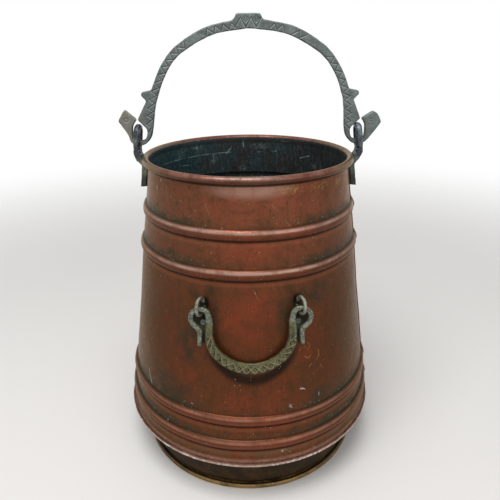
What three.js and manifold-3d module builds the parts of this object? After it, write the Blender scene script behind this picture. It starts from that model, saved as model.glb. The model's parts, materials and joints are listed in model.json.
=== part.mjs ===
// Copper coal scuttle: a tapered, beaded bucket on a wired foot ring, with a forged
// bail that hooks into two iron ears and a drop handle that hangs in two wire staples.
// Millimetres, +Z up. The origin is on the ground, on the axis of the bucket. The drop
// handle is at the front, towards -Y, and the side seam of the wall is at +X.
import * as THREE from 'three';
import { mergeVertices } from 'three/addons/utils/BufferGeometryUtils.js';
import Module from 'manifold-3d';

const wasm = await Module();
wasm.setup();

// ---------------------------------------------------------------- driving dimensions
const FIT = 0.3; // gap between two pieces that lie on each other
const FACETS = 42; // flats round the bucket: a flat faces each ear
const SMALL_FACETS = 12; // flats round a rivet, stud or washer

// Bucket wall
const SHEET = 1.0; // thickness of the copper sheet
const FOOT_HEIGHT = 45.6; // ground to the underside of the floor
const WALL_HEIGHT = 269.4; // underside of the floor to the underside of the rolled rim
const RIM_WALL_R = 101.7; // outside of the wall under the rim
const FLOOR_WALL_R = 133.4; // outside of the wall at the top of the floor seam
const FLARE_HEIGHT = 5; // the wall turns out over this height above the floor seam
const FLARE_OUT = 0.8; // and by this much
const BEAD_HEIGHT = 10; // swaged ring beads
const BEAD_PROUD = 2.8;
const BEADS_BELOW_RIM = [80.8, 44.5]; // rim underside down to the two upper beads
const BEADS_ABOVE_FLOOR = [22.1, 46.6]; // floor underside up to the two lower beads
const LAP_WIDTH = 29; // outer lap of the side seam, round the wall
const LAP_SHORT = 1.2; // the lap stops this far short of the roll and of the flare

// Wired rim and floor seam
const RIM_WIRE_D = 4.4; // iron wire inside the rolled rim
const ROLL_END_DEG = -122; // where the rolled edge ends: 0 is outwards, -90 is down
const HEM_WIDTH = 2.0; // folded edge of the floor, seen from above

// Foot ring
const FOOT_R = 115.9; // outside of the foot ring's wall
const FOOT_WIRE_D = 3.2; // iron wire inside the foot's rolled edge
const FOOT_STEP = 2.4; // the wall steps in by this much above the roll
const FOOT_STEP_HEIGHT = 3.5;
const FOOT_ROLL_END_DEG = 50;
const FOOT_LEDGE = 10; // width of the ledge that carries the floor
const FOOT_WORN_DEG = 20; // the roll is worn flat this far to each side of its underside

// Ears, one on each side of the rim
const EAR_THICK = 6.2;
const EAR_WIDTH = 14;
const EAR_LENGTH = 27.5; // below the underside of the rim
const EAR_BEND = 5; // height of the bend that clears the roll
const EAR_CHAMFER = 0.8;
const HOOK_SET_OUT = 0.9; // the middle of the bail's hook stands out from the strap
const EYE_SET_OUT = 0.4; // and the eye from there
const EYE_LEAN = 0.1; // the eye leans in over the bucket by this share of its height
const EYE_RISE = 10.6; // top of the rim up to the axis that the bail turns on
const EYE_HOLE_LENGTH = 16.9; // long way of the eye's hole
const EYE_ROD = 5.8; // thickness of the eye round its hole
const EYE_DEPTH = 6.8; // thickness of the eye along the axis
const EYE_CHAMFER = 1.8;

// Countersunk rivets through the ears, headed over washers inside
const RIVET_D = 4.6;
const RIVET_SINK_D = 7.6;
const RIVET_SINK = 1.6;
const RIVET_TAIL_D = 7.4;
const RIVET_TAIL_TOP_D = 5;
const RIVET_TAIL = 1.9;
const RIVETS_BELOW_RIM = { upper: 9.5, lower: 21.5 };
const RIVET_WASHER_D = 11;
const WASHER_THICK = 1.2;

// Bail
const BAIL_RISE = 122.9; // axis to the top of the crest
const BAIL_THICK = 6;
const BAIL_BAR = 7.8; // width of the bow's flat bar at its ends
const BAIL_SHOULDER_BAR = 9; // in its shoulders
const BAIL_CROWN_BAR = 8.2; // and at its crown
const BAIL_CHAMFER = 0.8;
const HOOK_BAR = 5.2; // height of the bar that lies in the eye
const BAIL_SLID = 1; // the bail lies this far to the right in its ears
const BAIL_LEAN = 2.2; // and its bow leans further by this much
const CREST_BACK = 1.8; // the crest lies a little back to the left
const CREST_TOP = 11.4; // half widths of the crest
const CREST_FOOT = 14.5;
const CREST_HEIGHT = 5.6;

// Drop handle on the front
const HANDLE_SPREAD = 45.3; // middle of the handle to the middle of each ring
const HANDLE_ROUND_DEG = 0.8; // the handle sits this far round to the right
const HANDLE_THICK = 4.2;
const HANDLE_CHAMFER = 1.1;
const HANDLE_DROP = 57.1; // axis to the middle of the bow's bar
const HANDLE_BAR = 10.3; // width of the bar at the bottom of the bow
const HANDLE_ROD = 4.2; // width of the rod that runs through the staple

// Staples of bent wire, each an eye outside and two legs spread over a washer inside
const STAPLE_BELOW_RIM = 110;
const STAPLE_WIRE = 3.2;
const STAPLE_TALL = 19;
const STAPLE_TURN_DEG = 9; // the eye is turned this far to the outer side
const STAPLE_BEND = 1.8; // radius of the bends at the wall, to the middle of the wire
const STAPLE_CLENCH = 5.5; // length of each spread leg
const STAPLE_WASHER_D = 16;

// Studs under the staples
const STUD_HEAD_D = 6;
const STUD_HEAD = 1.4;
const STUD_SHANK_D = 3;
const STUD_TAIL_D = 5;
const STUD_TAIL = 1;
const STUD_BELOW_STAPLE = 17.8;

// ---------------------------------------------------------------- worked-out places
const DEG = Math.PI / 180;
const FRONT = -90 * DEG;
const FLANGE_Z = FOOT_HEIGHT + SHEET + FIT;
const HEM_Z = FLANGE_Z + SHEET + FIT;
const SEAM_TOP = HEM_Z + SHEET;
const RIM_Z = FOOT_HEIGHT + WALL_HEIGHT;
const TAPER = (FLOOR_WALL_R - RIM_WALL_R) / (RIM_Z - SEAM_TOP);
const WALL_TILT = Math.atan(TAPER);
const FLARE_R = FLOOR_WALL_R + FLARE_OUT;
const HEM_R = FLARE_R + FIT;
const SEAM_R = HEM_R + HEM_WIDTH;
const ROLL_IN = RIM_WIRE_D / 2 + FIT; // hollow of the roll
const ROLL_OUT = ROLL_IN + SHEET;
const ROLL_R = RIM_WALL_R - SHEET + ROLL_OUT; // radius on which the rim's wire lies
const ROLL_Z = RIM_Z + ROLL_OUT;
const RIM_TOP = ROLL_Z + ROLL_OUT;
const FOOT_ROLL_IN = FOOT_WIRE_D / 2 + FIT;
const FOOT_ROLL_OUT = FOOT_ROLL_IN + SHEET;
const FOOT_ROLL_R = FOOT_R - FOOT_STEP - SHEET + FOOT_ROLL_OUT;
const FOOT_ROLL_Z = FOOT_ROLL_OUT * Math.cos(FOOT_WORN_DEG * DEG);
const BEADS = [
  ...BEADS_ABOVE_FLOOR.map((rise) => FOOT_HEIGHT + rise),
  ...BEADS_BELOW_RIM.map((drop) => RIM_Z - drop),
];
const HOOK_R = ROLL_R + ROLL_OUT + FIT + EAR_THICK / 2 + HOOK_SET_OUT;
const EYE_R = HOOK_R + EYE_SET_OUT; // middle of the eye at the bail's axis, with no seat under the ear
const BAIL_AXIS_Z = RIM_TOP + EYE_RISE;
const EYE_HOLE_R = cornerReach(BAIL_THICK, HOOK_BAR, BAIL_CHAMFER) + FIT;
const STAPLE_Z = RIM_Z - STAPLE_BELOW_RIM;
const STAPLE_TURN = STAPLE_TURN_DEG * DEG;
const STAPLE_SKEW = Math.asin(HANDLE_SPREAD / wallR(STAPLE_Z)) + STAPLE_TURN; // rod to the eye's axis
const STAPLE_HOLE_R = cornerReach(HANDLE_THICK, HANDLE_ROD, HANDLE_CHAMFER) / Math.cos(STAPLE_SKEW)
  + (STAPLE_WIRE / 2) * Math.tan(STAPLE_SKEW) + FIT;
const STAPLE_EYE_R = STAPLE_HOLE_R + STAPLE_WIRE / 2; // to the middle of the wire
const STAPLE_STRAIGHT = STAPLE_TALL - 2 * STAPLE_EYE_R - STAPLE_WIRE;
const STAPLE_EYE_OUT = STAPLE_BEND + FIT + STAPLE_EYE_R; // wall to the handle's axis
const STAPLE_LEG = STAPLE_WIRE / 2 + FIT / 2; // middle of the staple to each leg
const STAPLE_HOLE_D = 2 * (STAPLE_LEG + STAPLE_WIRE / 2 + FIT);
const STAPLE_EYE_AHEAD = STAPLE_EYE_OUT * Math.cos(STAPLE_TURN);
const STAPLE_EYE_ASIDE = STAPLE_EYE_OUT * Math.sin(STAPLE_TURN);
const STAPLE_EYE_RADIAL = wallR(STAPLE_Z)
  + STAPLE_EYE_AHEAD * Math.cos(WALL_TILT) + (STAPLE_STRAIGHT / 2) * Math.sin(WALL_TILT);
const HANDLE_AXIS_R = Math.hypot(STAPLE_EYE_RADIAL, STAPLE_EYE_ASIDE);
const HANDLE_AXIS_Z = STAPLE_Z
  + STAPLE_EYE_AHEAD * Math.sin(WALL_TILT) - (STAPLE_STRAIGHT / 2) * Math.cos(WALL_TILT);
const STAPLE_EYE_ROUND = Math.asin(HANDLE_SPREAD / HANDLE_AXIS_R);
const STAPLE_ROUND = STAPLE_EYE_ROUND - Math.atan2(STAPLE_EYE_ASIDE, STAPLE_EYE_RADIAL);
const HANDLE_AXIS_OUT = Math.sqrt(HANDLE_AXIS_R ** 2 - HANDLE_SPREAD ** 2);

// Outside radius of the straight wall at height z.
function wallR(z) {
  return RIM_WALL_R + TAPER * (RIM_Z - z);
}

// Furthest point of a chamfered bar's section from its middle.
function cornerReach(width, height, chamfer) {
  return Math.max(
    Math.hypot(width / 2, height / 2 - chamfer),
    Math.hypot(width / 2 - chamfer, height / 2),
  );
}

// How far a flat disc inside the wall has to stand off, because the wall is hollow there
// and made of flats.
function standOff(discR, z) {
  const r = wallR(z) - SHEET;
  return FIT + discR ** 2 / (2 * r) + r * (1 - Math.cos(Math.PI / FACETS));
}

// ---------------------------------------------------------------- materials
function material(color, roughness, metalness) {
  return new THREE.MeshStandardMaterial({ color, roughness, metalness });
}

const finish = {
  copper: () => material(0x6e3a2a, 0.5, 0.8),
  foot: () => material(0x3a2c22, 0.6, 0.7),
  wire: () => material(0x3f3b37, 0.7, 0.8),
  ear: () => material(0x2c2f33, 0.6, 0.8),
  bail: () => material(0x5c6059, 0.6, 0.8),
  brass: () => material(0x7b765a, 0.5, 0.8),
  rivet: () => material(0x4a4038, 0.6, 0.8),
};

function named(name, geometry, look) {
  const mesh = new THREE.Mesh(geometry, look);
  mesh.name = name;
  return mesh;
}

// ---------------------------------------------------------------- solids
// Closed solid for the boolean cuts.
function solidOf(geometry) {
  const bare = geometry.clone();
  bare.deleteAttribute('normal');
  bare.deleteAttribute('uv');
  const merged = mergeVertices(bare, 1e-4);
  return new wasm.Manifold(
    new wasm.Mesh({
      numProp: 3,
      vertProperties: new Float32Array(merged.attributes.position.array),
      triVerts: new Uint32Array(merged.index.array),
    }),
  );
}

function geometryOf(solid) {
  const mesh = solid.getMesh();
  const geometry = new THREE.BufferGeometry();
  geometry.setAttribute('position', new THREE.BufferAttribute(mesh.vertProperties, 3));
  geometry.setIndex(new THREE.BufferAttribute(mesh.triVerts, 1));
  geometry.computeVertexNormals();
  return geometry;
}

function vectors(points) {
  return points.map(([x, y]) => new THREE.Vector2(x, y));
}

// Turns a profile of [radius, height] points, from the axis back to the axis, round Z.
function turned(profile, facets = FACETS) {
  const points = vectors(profile);
  if (THREE.ShapeUtils.area(points) < 0) {
    points.reverse();
  }
  return new THREE.LatheGeometry(points, facets).rotateX(90 * DEG);
}

// The same for a profile that closes on itself away from the axis.
function turnedRing(profile, facets = FACETS) {
  return turned([...profile, profile[0]], facets);
}

// A solid turned round Z is laid along X.
function alongX(geometry) {
  return geometry.rotateY(90 * DEG);
}

// Points of an arc from one angle to another, in steps of about 45 degrees.
function arc([centreX, centreY], radius, fromDeg, toDeg) {
  const steps = Math.ceil(Math.abs(toDeg - fromDeg) / 45);
  const points = [];
  for (let i = 0; i <= steps; i += 1) {
    const angle = (fromDeg + ((toDeg - fromDeg) * i) / steps) * DEG;
    points.push([centreX + radius * Math.cos(angle), centreY + radius * Math.sin(angle)]);
  }
  return points;
}

// A flat plate with chamfered edges, centred on its thickness.
function plate(shape, thick, chamfer) {
  const geometry = new THREE.ExtrudeGeometry(shape, {
    depth: thick - 2 * chamfer,
    bevelThickness: chamfer,
    bevelSize: chamfer,
    bevelOffset: -chamfer,
    bevelSegments: 1,
    curveSegments: 4,
  });
  return geometry.translate(0, 0, chamfer - thick / 2);
}

// Stands a plate up: drawn in X and Z, with its thickness along Y.
function facingFront(geometry) {
  return geometry.rotateX(90 * DEG);
}

// Stands a plate up: drawn in Y and Z, with its thickness along X.
function facingSide(geometry) {
  return geometry.rotateX(90 * DEG).rotateZ(90 * DEG);
}

// A place on the outside of the wall. Its X axis points straight out of the sheet and
// its Z axis runs up the wall.
function placeOnWall(azimuth, z) {
  const place = new THREE.Group();
  const r = wallR(z);
  place.position.set(r * Math.cos(azimuth), r * Math.sin(azimuth), z);
  place.rotation.set(0, -WALL_TILT, azimuth, 'ZYX');
  place.updateMatrixWorld(true);
  return place;
}

// ---------------------------------------------------------------- bucket wall
// Radius and height of the wall's outer surface from the floor seam to the rim.
function wallLine() {
  const flareTop = SEAM_TOP + FLARE_HEIGHT;
  const flareMiddle = SEAM_TOP + FLARE_HEIGHT / 2;
  const line = [
    [FLARE_R, SEAM_TOP],
    [(FLARE_R + 3 * wallR(flareTop)) / 4, flareMiddle],
    [wallR(flareTop), flareTop],
  ];
  const steps = 4;
  for (const bead of BEADS) {
    for (let i = 0; i <= steps; i += 1) {
      const angle = (180 * DEG * i) / steps;
      const z = bead - (BEAD_HEIGHT / 2) * Math.cos(angle);
      line.push([wallR(z) + BEAD_PROUD * Math.sin(angle), z]);
    }
  }
  line.push([RIM_WALL_R, RIM_Z]);
  return line;
}

function shifted(line, outwards) {
  return line.map(([r, z]) => [r + outwards, z]);
}

function bodyProfile() {
  const outside = wallLine();
  const leafR = SEAM_R - SHEET - FIT;
  return [
    [leafR, FLANGE_Z],
    [leafR, FLANGE_Z + SHEET],
    [FLARE_R, FLANGE_Z + SHEET],
    ...outside,
    ...arc([ROLL_R, ROLL_Z], ROLL_IN, 180, ROLL_END_DEG),
    ...arc([ROLL_R, ROLL_Z], ROLL_OUT, ROLL_END_DEG, 180),
    ...shifted(outside, -SHEET).reverse(),
    [FLARE_R - SHEET, FLANGE_Z],
  ];
}

// Outer lap of the side seam: a second thickness of sheet that follows the beads.
function seamLap() {
  const bottom = SEAM_TOP + FLARE_HEIGHT + LAP_SHORT;
  const top = RIM_Z - LAP_SHORT;
  const line = wallLine().filter(([, z]) => z > bottom && z < top);
  const outside = [[wallR(bottom), bottom], ...line, [wallR(top), top]];
  const profile = [...shifted(outside, SHEET), ...shifted(outside, -SHEET / 2).reverse()];
  const wedge = new THREE.BoxGeometry(2 * SEAM_R, LAP_WIDTH, 2 * RIM_TOP);
  wedge.translate(SEAM_R, 0, 0);
  return solidOf(turnedRing(profile)).intersect(solidOf(wedge));
}

// Rod through the wall, to cut the hole for a rivet or a staple.
function drill({ place, diameter }) {
  const rod = new THREE.CylinderGeometry(diameter / 2, diameter / 2, 8 * SHEET, SMALL_FACETS);
  return solidOf(rod.rotateZ(90 * DEG).applyMatrix4(place.matrixWorld));
}

function bodyShell(holes) {
  let solid = solidOf(turnedRing(bodyProfile())).add(seamLap());
  for (const hole of holes) {
    solid = solid.subtract(drill(hole));
  }
  return named('body_shell', geometryOf(solid), finish.copper());
}

function rimWire() {
  const section = arc([ROLL_R, ROLL_Z], RIM_WIRE_D / 2, 180, ROLL_END_DEG);
  return named('rim_wire', turnedRing(section), finish.wire());
}

// ---------------------------------------------------------------- floor and foot
function floorPan() {
  const profile = [
    [0, FOOT_HEIGHT],
    [SEAM_R, FOOT_HEIGHT],
    [SEAM_R, SEAM_TOP],
    [HEM_R, SEAM_TOP],
    [HEM_R, HEM_Z],
    [SEAM_R - SHEET, HEM_Z],
    [SEAM_R - SHEET, FOOT_HEIGHT + SHEET],
    [0, FOOT_HEIGHT + SHEET],
  ];
  return named('floor_pan', turned(profile), finish.copper());
}

// Section of the foot's roll, or of the wire in it, from its end inside, under the
// ground side and out to its upper end, with two corners on the worn flat.
function footRoll(radius) {
  const middle = [FOOT_ROLL_R, FOOT_ROLL_Z];
  return [
    ...arc(middle, radius, 180, 270 - FOOT_WORN_DEG),
    ...arc(middle, radius, 270 + FOOT_WORN_DEG, 360 + FOOT_ROLL_END_DEG),
  ];
}

function footRing() {
  const top = FOOT_HEIGHT - FIT;
  const stepBottom = 2 * FOOT_ROLL_OUT;
  const stepTop = stepBottom + FOOT_STEP_HEIGHT;
  const profile = [
    [FOOT_R, top],
    [FOOT_R - FOOT_LEDGE, top],
    [FOOT_R - FOOT_LEDGE, top - SHEET],
    [FOOT_R - SHEET, top - SHEET],
    [FOOT_R - SHEET, stepTop],
    [FOOT_R - FOOT_STEP - SHEET, stepBottom],
    ...footRoll(FOOT_ROLL_OUT),
    ...footRoll(FOOT_ROLL_IN).reverse(),
    [FOOT_R - FOOT_STEP, stepBottom],
    [FOOT_R, stepTop],
  ];
  return named('foot_ring', turnedRing(profile), finish.foot());
}

function footWire() {
  return named('foot_wire', turnedRing(footRoll(FOOT_WIRE_D / 2)), finish.wire());
}

// ---------------------------------------------------------------- ears and rivets
// Side view of the strap, radius against height. It lies on the wall, bulges out past
// the rolled rim and runs into the bottom of the eye.
function strapShape(seat) {
  const face = (z) => wallR(z) + seat + FIT;
  const foot = RIM_Z - EAR_LENGTH;
  const bend = RIM_Z - EAR_BEND;
  const neck = BAIL_AXIS_Z - EYE_HOLE_R - EYE_ROD / 2;
  const neckR = EYE_R + seat + EYE_LEAN * (BAIL_AXIS_Z - neck);
  const clear = ROLL_R + ROLL_OUT + FIT;
  return new THREE.Shape(vectors([
    [face(foot), foot],
    [face(foot) + EAR_THICK, foot],
    [face(bend) + EAR_THICK, bend],
    [clear + EAR_THICK, RIM_Z],
    [neckR + EYE_DEPTH / 2, RIM_TOP],
    [neckR + EYE_DEPTH / 2, neck],
    [neckR - EYE_DEPTH / 2, neck],
    [neckR - EYE_DEPTH / 2, RIM_TOP],
    [clear, ROLL_Z],
    [clear, RIM_Z],
    [face(bend), bend],
  ]));
}

// Outline with two half circles whose middles are that far apart.
function slot(path, radius, apart) {
  path.absarc(0, 0, radius, 180 * DEG, 360 * DEG, false);
  path.absarc(0, apart, radius, 0, 180 * DEG, false);
  path.closePath();
  return path;
}

function eyeSolid(seat) {
  const apart = EYE_HOLE_LENGTH - 2 * EYE_HOLE_R;
  const outline = slot(new THREE.Shape(), EYE_HOLE_R + EYE_ROD, apart);
  outline.holes.push(slot(new THREE.Path(), EYE_HOLE_R, apart));
  const ring = facingSide(plate(outline, EYE_DEPTH, EYE_CHAMFER));
  ring.applyMatrix4(new THREE.Matrix4().makeShear(0, 0, 0, 0, -EYE_LEAN, 0));
  return solidOf(ring.translate(EYE_R + seat, 0, BAIL_AXIS_Z));
}

// Section of a rivet at its place on the wall, where height 0 is the outside of the
// sheet. Slack widens it to the hole that it sits in.
function rivetProfile(seat, inside, slack) {
  const outer = seat + EAR_THICK + FIT / 2;
  const r = RIVET_D / 2 + slack;
  return [
    [0, inside - RIVET_TAIL],
    [RIVET_TAIL_TOP_D / 2, inside - RIVET_TAIL],
    [RIVET_TAIL_D / 2, inside],
    [r, inside],
    [r, outer - RIVET_SINK],
    [RIVET_SINK_D / 2 + slack, outer],
    [RIVET_SINK_D / 2 + slack, outer + slack],
    [0, outer + slack],
  ];
}

function washerProfile(holeR, outerR, face) {
  return [
    [holeR, face],
    [outerR, face],
    [outerR, face + WASHER_THICK],
    [holeR, face + WASHER_THICK],
  ];
}

// One ear with its two rivets and washers. Seat is what lies between it and the wall.
function ear(side, azimuth, seat, holes) {
  const group = new THREE.Group();
  const strap = facingFront(plate(strapShape(seat), EAR_WIDTH, EAR_CHAMFER));
  let solid = solidOf(strap).add(eyeSolid(seat));
  for (const [level, drop] of Object.entries(RIVETS_BELOW_RIM)) {
    const z = RIM_Z - drop;
    const washerFace = -SHEET - standOff(RIVET_WASHER_D / 2, z) - WASHER_THICK;
    const inside = washerFace - FIT;
    const sink = alongX(turned(rivetProfile(seat, inside, FIT), SMALL_FACETS));
    solid = solid.subtract(solidOf(sink.applyMatrix4(placeOnWall(0, z).matrixWorld)));
    const washer = washerProfile(RIVET_D / 2 + FIT, RIVET_WASHER_D / 2, washerFace);
    const place = placeOnWall(azimuth, z);
    const rivet = alongX(turned(rivetProfile(seat, inside, 0), SMALL_FACETS));
    place.add(named(`ear_rivet_${side}_${level}`, rivet, finish.rivet()));
    place.add(named(`ear_washer_${side}_${level}`, alongX(turnedRing(washer, SMALL_FACETS)), finish.rivet()));
    group.add(place);
    holes.push({ place, diameter: RIVET_D + 2 * FIT });
  }
  const iron = named(`ear_${side}`, geometryOf(solid), finish.ear());
  iron.rotation.z = azimuth;
  group.add(iron);
  return group;
}

// ---------------------------------------------------------------- bail
// Outlines of the hook, its leaf and the spur above it: outwards from the middle of the
// hook, and up from the bail's axis.
const HOOK_UNDER = [[8.2, 0.9], [4.4, -2], [0, -HOOK_BAR / 2], [-3.4, -HOOK_BAR / 2], [-8, -0.6],
  [-11.6, 3.2], [-14.2, 8.6]];
const HOOK_HOLE = [[-8.6, 14], [-9.2, 9.4], [-7.8, 5], [-5, HOOK_BAR / 2], [4.2, HOOK_BAR / 2],
  [5.5, 5], [5.6, 14], [4.8, 18], [1.3, 23.2]];
const SPUR_AND_WEDGE = [[-4.6, 50.6], [-3.4, 47.6], [-8.6, 41.8], [0.3, 23]];
const ARM_INSIDE = [[-15.8, 17.4], [-17.3, 32.4], [-19, 41.9]];
const LEAF_RIGHT = [[12.4, 30.4], [17.2, 27.4], [21.8, 19.3], [13.1, 6.7]];
const LEAF_LEFT = [[13.4, 33.5], [19.9, 22.1], [12.2, 11.4], [9.6, 6.2]];

// Middle line of half the bow: outwards from the middle of the hook, and down from the
// bow's crown, which is at the foot of the crest.
const BOW_SIDE = [
  [-17.8, 62.3],
  [-22.2, 50.7],
  [-30.1, 36.5],
  [-41.4, 23.7],
  [-63.4, 10],
  [-83.2, 3.2],
];

// The two edges of a bar that has the given widths along its middle line.
function barEdges(line, widths, steps) {
  const middle = new THREE.SplineCurve(vectors(line));
  const width = new THREE.SplineCurve(widths.map((w, i) => new THREE.Vector2(i, w)));
  const left = [];
  const right = [];
  for (let i = 0; i <= steps; i += 1) {
    const p = middle.getPoint(i / steps);
    const d = middle.getTangent(i / steps);
    const half = width.getPoint(i / steps).y / 2;
    left.push([p.x - d.y * half, p.y + d.x * half]);
    right.push([p.x + d.y * half, p.y - d.x * half]);
  }
  return { left, right };
}

// Half outline of the bail from the middle of its crest out, round the hook and its
// leaf, and back along the inside of the bow.
function bailHalf(leaf, crestShift) {
  const crown = BAIL_RISE - CREST_HEIGHT - BAIL_CROWN_BAR / 2;
  const fromHook = ([x, y]) => [HOOK_R + x, y];
  const bow = [[0, crown], ...BOW_SIDE.map(([x, y]) => [HOOK_R + x, crown - y]).reverse()];
  const widths = [BAIL_CROWN_BAR, BAIL_SHOULDER_BAR, BAIL_BAR, BAIL_BAR];
  const { left: outer, right: inner } = barEdges(bow, widths, 14);
  const crestEnd = CREST_FOOT + crestShift;
  return [
    [0, BAIL_RISE],
    [CREST_TOP + crestShift, BAIL_RISE],
    [crestEnd, BAIL_RISE - CREST_HEIGHT],
    ...outer.filter(([x]) => x > crestEnd + BAIL_CROWN_BAR / 2),
    ...SPUR_AND_WEDGE.map(fromHook),
    ...HOOK_HOLE.map(fromHook),
    ...leaf.map(fromHook),
    ...HOOK_UNDER.map(fromHook),
    ...ARM_INSIDE.map(fromHook),
    ...inner.reverse(),
  ];
}

function bail() {
  const right = bailHalf(LEAF_RIGHT, -CREST_BACK);
  const left = bailHalf(LEAF_LEFT, CREST_BACK).map(([x, y]) => [-x, y]).reverse();
  const lean = ([x, y]) => {
    return [x + BAIL_SLID + BAIL_LEAN * THREE.MathUtils.smoothstep(y, HOOK_BAR, BAIL_RISE / 2), y];
  };
  const outline = [...right, ...left.slice(1, -1)].map(lean);
  const plane = facingFront(plate(new THREE.Shape(vectors(outline)), BAIL_THICK, BAIL_CHAMFER));
  const hinge = new THREE.Group();
  hinge.name = 'bail_hinge';
  hinge.position.z = BAIL_AXIS_Z;
  hinge.add(named('bail', plane, finish.bail()));
  return hinge;
}

// ---------------------------------------------------------------- drop handle
// Middle line of half the handle, from the side of its bow up to the rod that runs
// through the staple, round the ring and down its tail: outwards from the middle of the
// staple, and down from the axis.
const HANDLE_SIDE = [
  [-30.8, 54.4],
  [-18.3, 46.8],
  [-10.8, 37.5],
  [-7.7, 27],
  [-7.9, 17],
  [-7.8, 9],
  [-5.6, 2.4],
  [0, 0],
  [5.8, 1.9],
  [8.7, 6.9],
  [7.3, 12.8],
  [3.6, 16.8],
  [0.9, 20],
  [0.8, 25],
  [1.3, 34.3],
];
// Widths of the bar at those points.
const HANDLE_SIDE_BARS = [
  10.1, 9.4, 8.6, 7.8, 7, 5.6, 4.6, HANDLE_ROD, HANDLE_ROD, 4.4, 4.5, 4.7, 4.7, 4.2, 3.8,
];

// How far the handle leans out from upright when its bow rests on the wall. The inner
// edge of the bow is the first to touch.
function handleLean() {
  const edge = HANDLE_DROP - HANDLE_BAR / 2 + HANDLE_CHAMFER;
  const behind = HANDLE_THICK / 2;
  const axisOff = (HANDLE_AXIS_OUT - wallR(HANDLE_AXIS_Z)) * Math.cos(WALL_TILT);
  return WALL_TILT + Math.atan2(behind, edge) + Math.asin((FIT - axisOff) / Math.hypot(edge, behind));
}

function frontHandle() {
  const side = HANDLE_SIDE.map(([x, y]) => [HANDLE_SPREAD + x, -y]);
  const line = [...side.map(([x, y]) => [-x, y]).reverse(), [0, -HANDLE_DROP], ...side];
  const widths = [...[...HANDLE_SIDE_BARS].reverse(), HANDLE_BAR, ...HANDLE_SIDE_BARS];
  const { left, right } = barEdges(line, widths, 64);
  const outline = new THREE.Shape(vectors([...right, ...left.reverse()]));
  const hinge = new THREE.Group();
  hinge.name = 'front_handle_hinge';
  hinge.position.set(0, -HANDLE_AXIS_OUT, HANDLE_AXIS_Z);
  hinge.rotation.x = -handleLean();
  const bar = facingFront(plate(outline, HANDLE_THICK, HANDLE_CHAMFER));
  hinge.add(named('front_handle', bar, finish.brass()));
  return hinge;
}

// Middle line of half a staple's wire at its place on the wall: from the end of the
// spread leg inside, out through the wall and round to the outer side of the eye.
function stapleHalf(washerFace) {
  const legX = washerFace - FIT - STAPLE_WIRE / 2;
  const bendZ = STAPLE_LEG + STAPLE_BEND;
  const eye = [STAPLE_EYE_OUT, STAPLE_STRAIGHT / 2];
  return [
    [legX, bendZ + STAPLE_CLENCH],
    ...arc([legX + STAPLE_BEND, bendZ], STAPLE_BEND, 180, 270),
    ...arc([FIT, bendZ], STAPLE_BEND, 270, 360),
    ...arc(eye, STAPLE_EYE_R, 180, 0),
  ];
}

function staple(side, azimuth, holes) {
  const place = placeOnWall(azimuth, STAPLE_Z);
  const standing = standOff(STAPLE_WASHER_D / 2, STAPLE_Z);
  const washerFace = -SHEET - standing - WASHER_THICK;
  const upper = stapleHalf(washerFace);
  const lower = upper.map(([x, z]) => [x, -z]).reverse();
  const turn = Math.sign(azimuth - FRONT) * STAPLE_TURN;
  const points = [...upper, ...lower].map(([x, z]) => {
    const round = x < FIT ? 0 : turn;
    return new THREE.Vector3(x * Math.cos(round), x * Math.sin(round), z);
  });
  const section = new THREE.Shape(vectors(arc([0, 0], STAPLE_WIRE / 2, 0, 315)));
  const wire = new THREE.ExtrudeGeometry(section, {
    extrudePath: new THREE.CatmullRomCurve3(points, false, 'centripetal'),
    steps: 48,
  });
  const washer = washerProfile(STAPLE_HOLE_D / 2, STAPLE_WASHER_D / 2, washerFace);
  place.add(named(`handle_staple_${side}`, wire, finish.brass()));
  place.add(named(`staple_washer_${side}`, alongX(turnedRing(washer, SMALL_FACETS)), finish.rivet()));
  holes.push({ place, diameter: STAPLE_HOLE_D });
  return place;
}

function stud(side, azimuth, holes) {
  const z = STAPLE_Z - STUD_BELOW_STAPLE;
  const place = placeOnWall(azimuth, z);
  const inside = -SHEET - standOff(STUD_TAIL_D / 2, z);
  const profile = [
    [0, inside - STUD_TAIL],
    [STUD_TAIL_D / 2, inside - STUD_TAIL],
    [STUD_TAIL_D / 2, inside],
    [STUD_SHANK_D / 2, inside],
    [STUD_SHANK_D / 2, FIT],
    [STUD_HEAD_D / 2, FIT],
    [STUD_HEAD_D / 3, FIT + STUD_HEAD],
    [0, FIT + STUD_HEAD],
  ];
  place.add(named(`handle_stud_${side}`, alongX(turned(profile, SMALL_FACETS)), finish.rivet()));
  holes.push({ place, diameter: STUD_SHANK_D + 2 * FIT });
  return place;
}

// ---------------------------------------------------------------- assembly
function scuttle() {
  const group = new THREE.Group();
  const holes = [];
  group.add(ear('right', 0, SHEET, holes));
  group.add(ear('left', 180 * DEG, 0, holes));
  const handleAzimuth = FRONT + HANDLE_ROUND_DEG * DEG;
  for (const [side, sign] of [['left', -1], ['right', 1]]) {
    group.add(staple(side, handleAzimuth + sign * STAPLE_ROUND, holes));
    group.add(stud(side, handleAzimuth + sign * STAPLE_EYE_ROUND, holes));
  }
  const handleTurn = new THREE.Group();
  handleTurn.rotation.z = HANDLE_ROUND_DEG * DEG;
  handleTurn.add(frontHandle());
  group.add(bodyShell(holes), rimWire(), floorPan(), footRing(), footWire(), bail(), handleTurn);
  return group;
}

const group = scuttle();

export default group;
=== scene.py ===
import json
import math

import bmesh
import bpy
import numpy as np
from mathutils import Matrix, Vector


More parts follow.
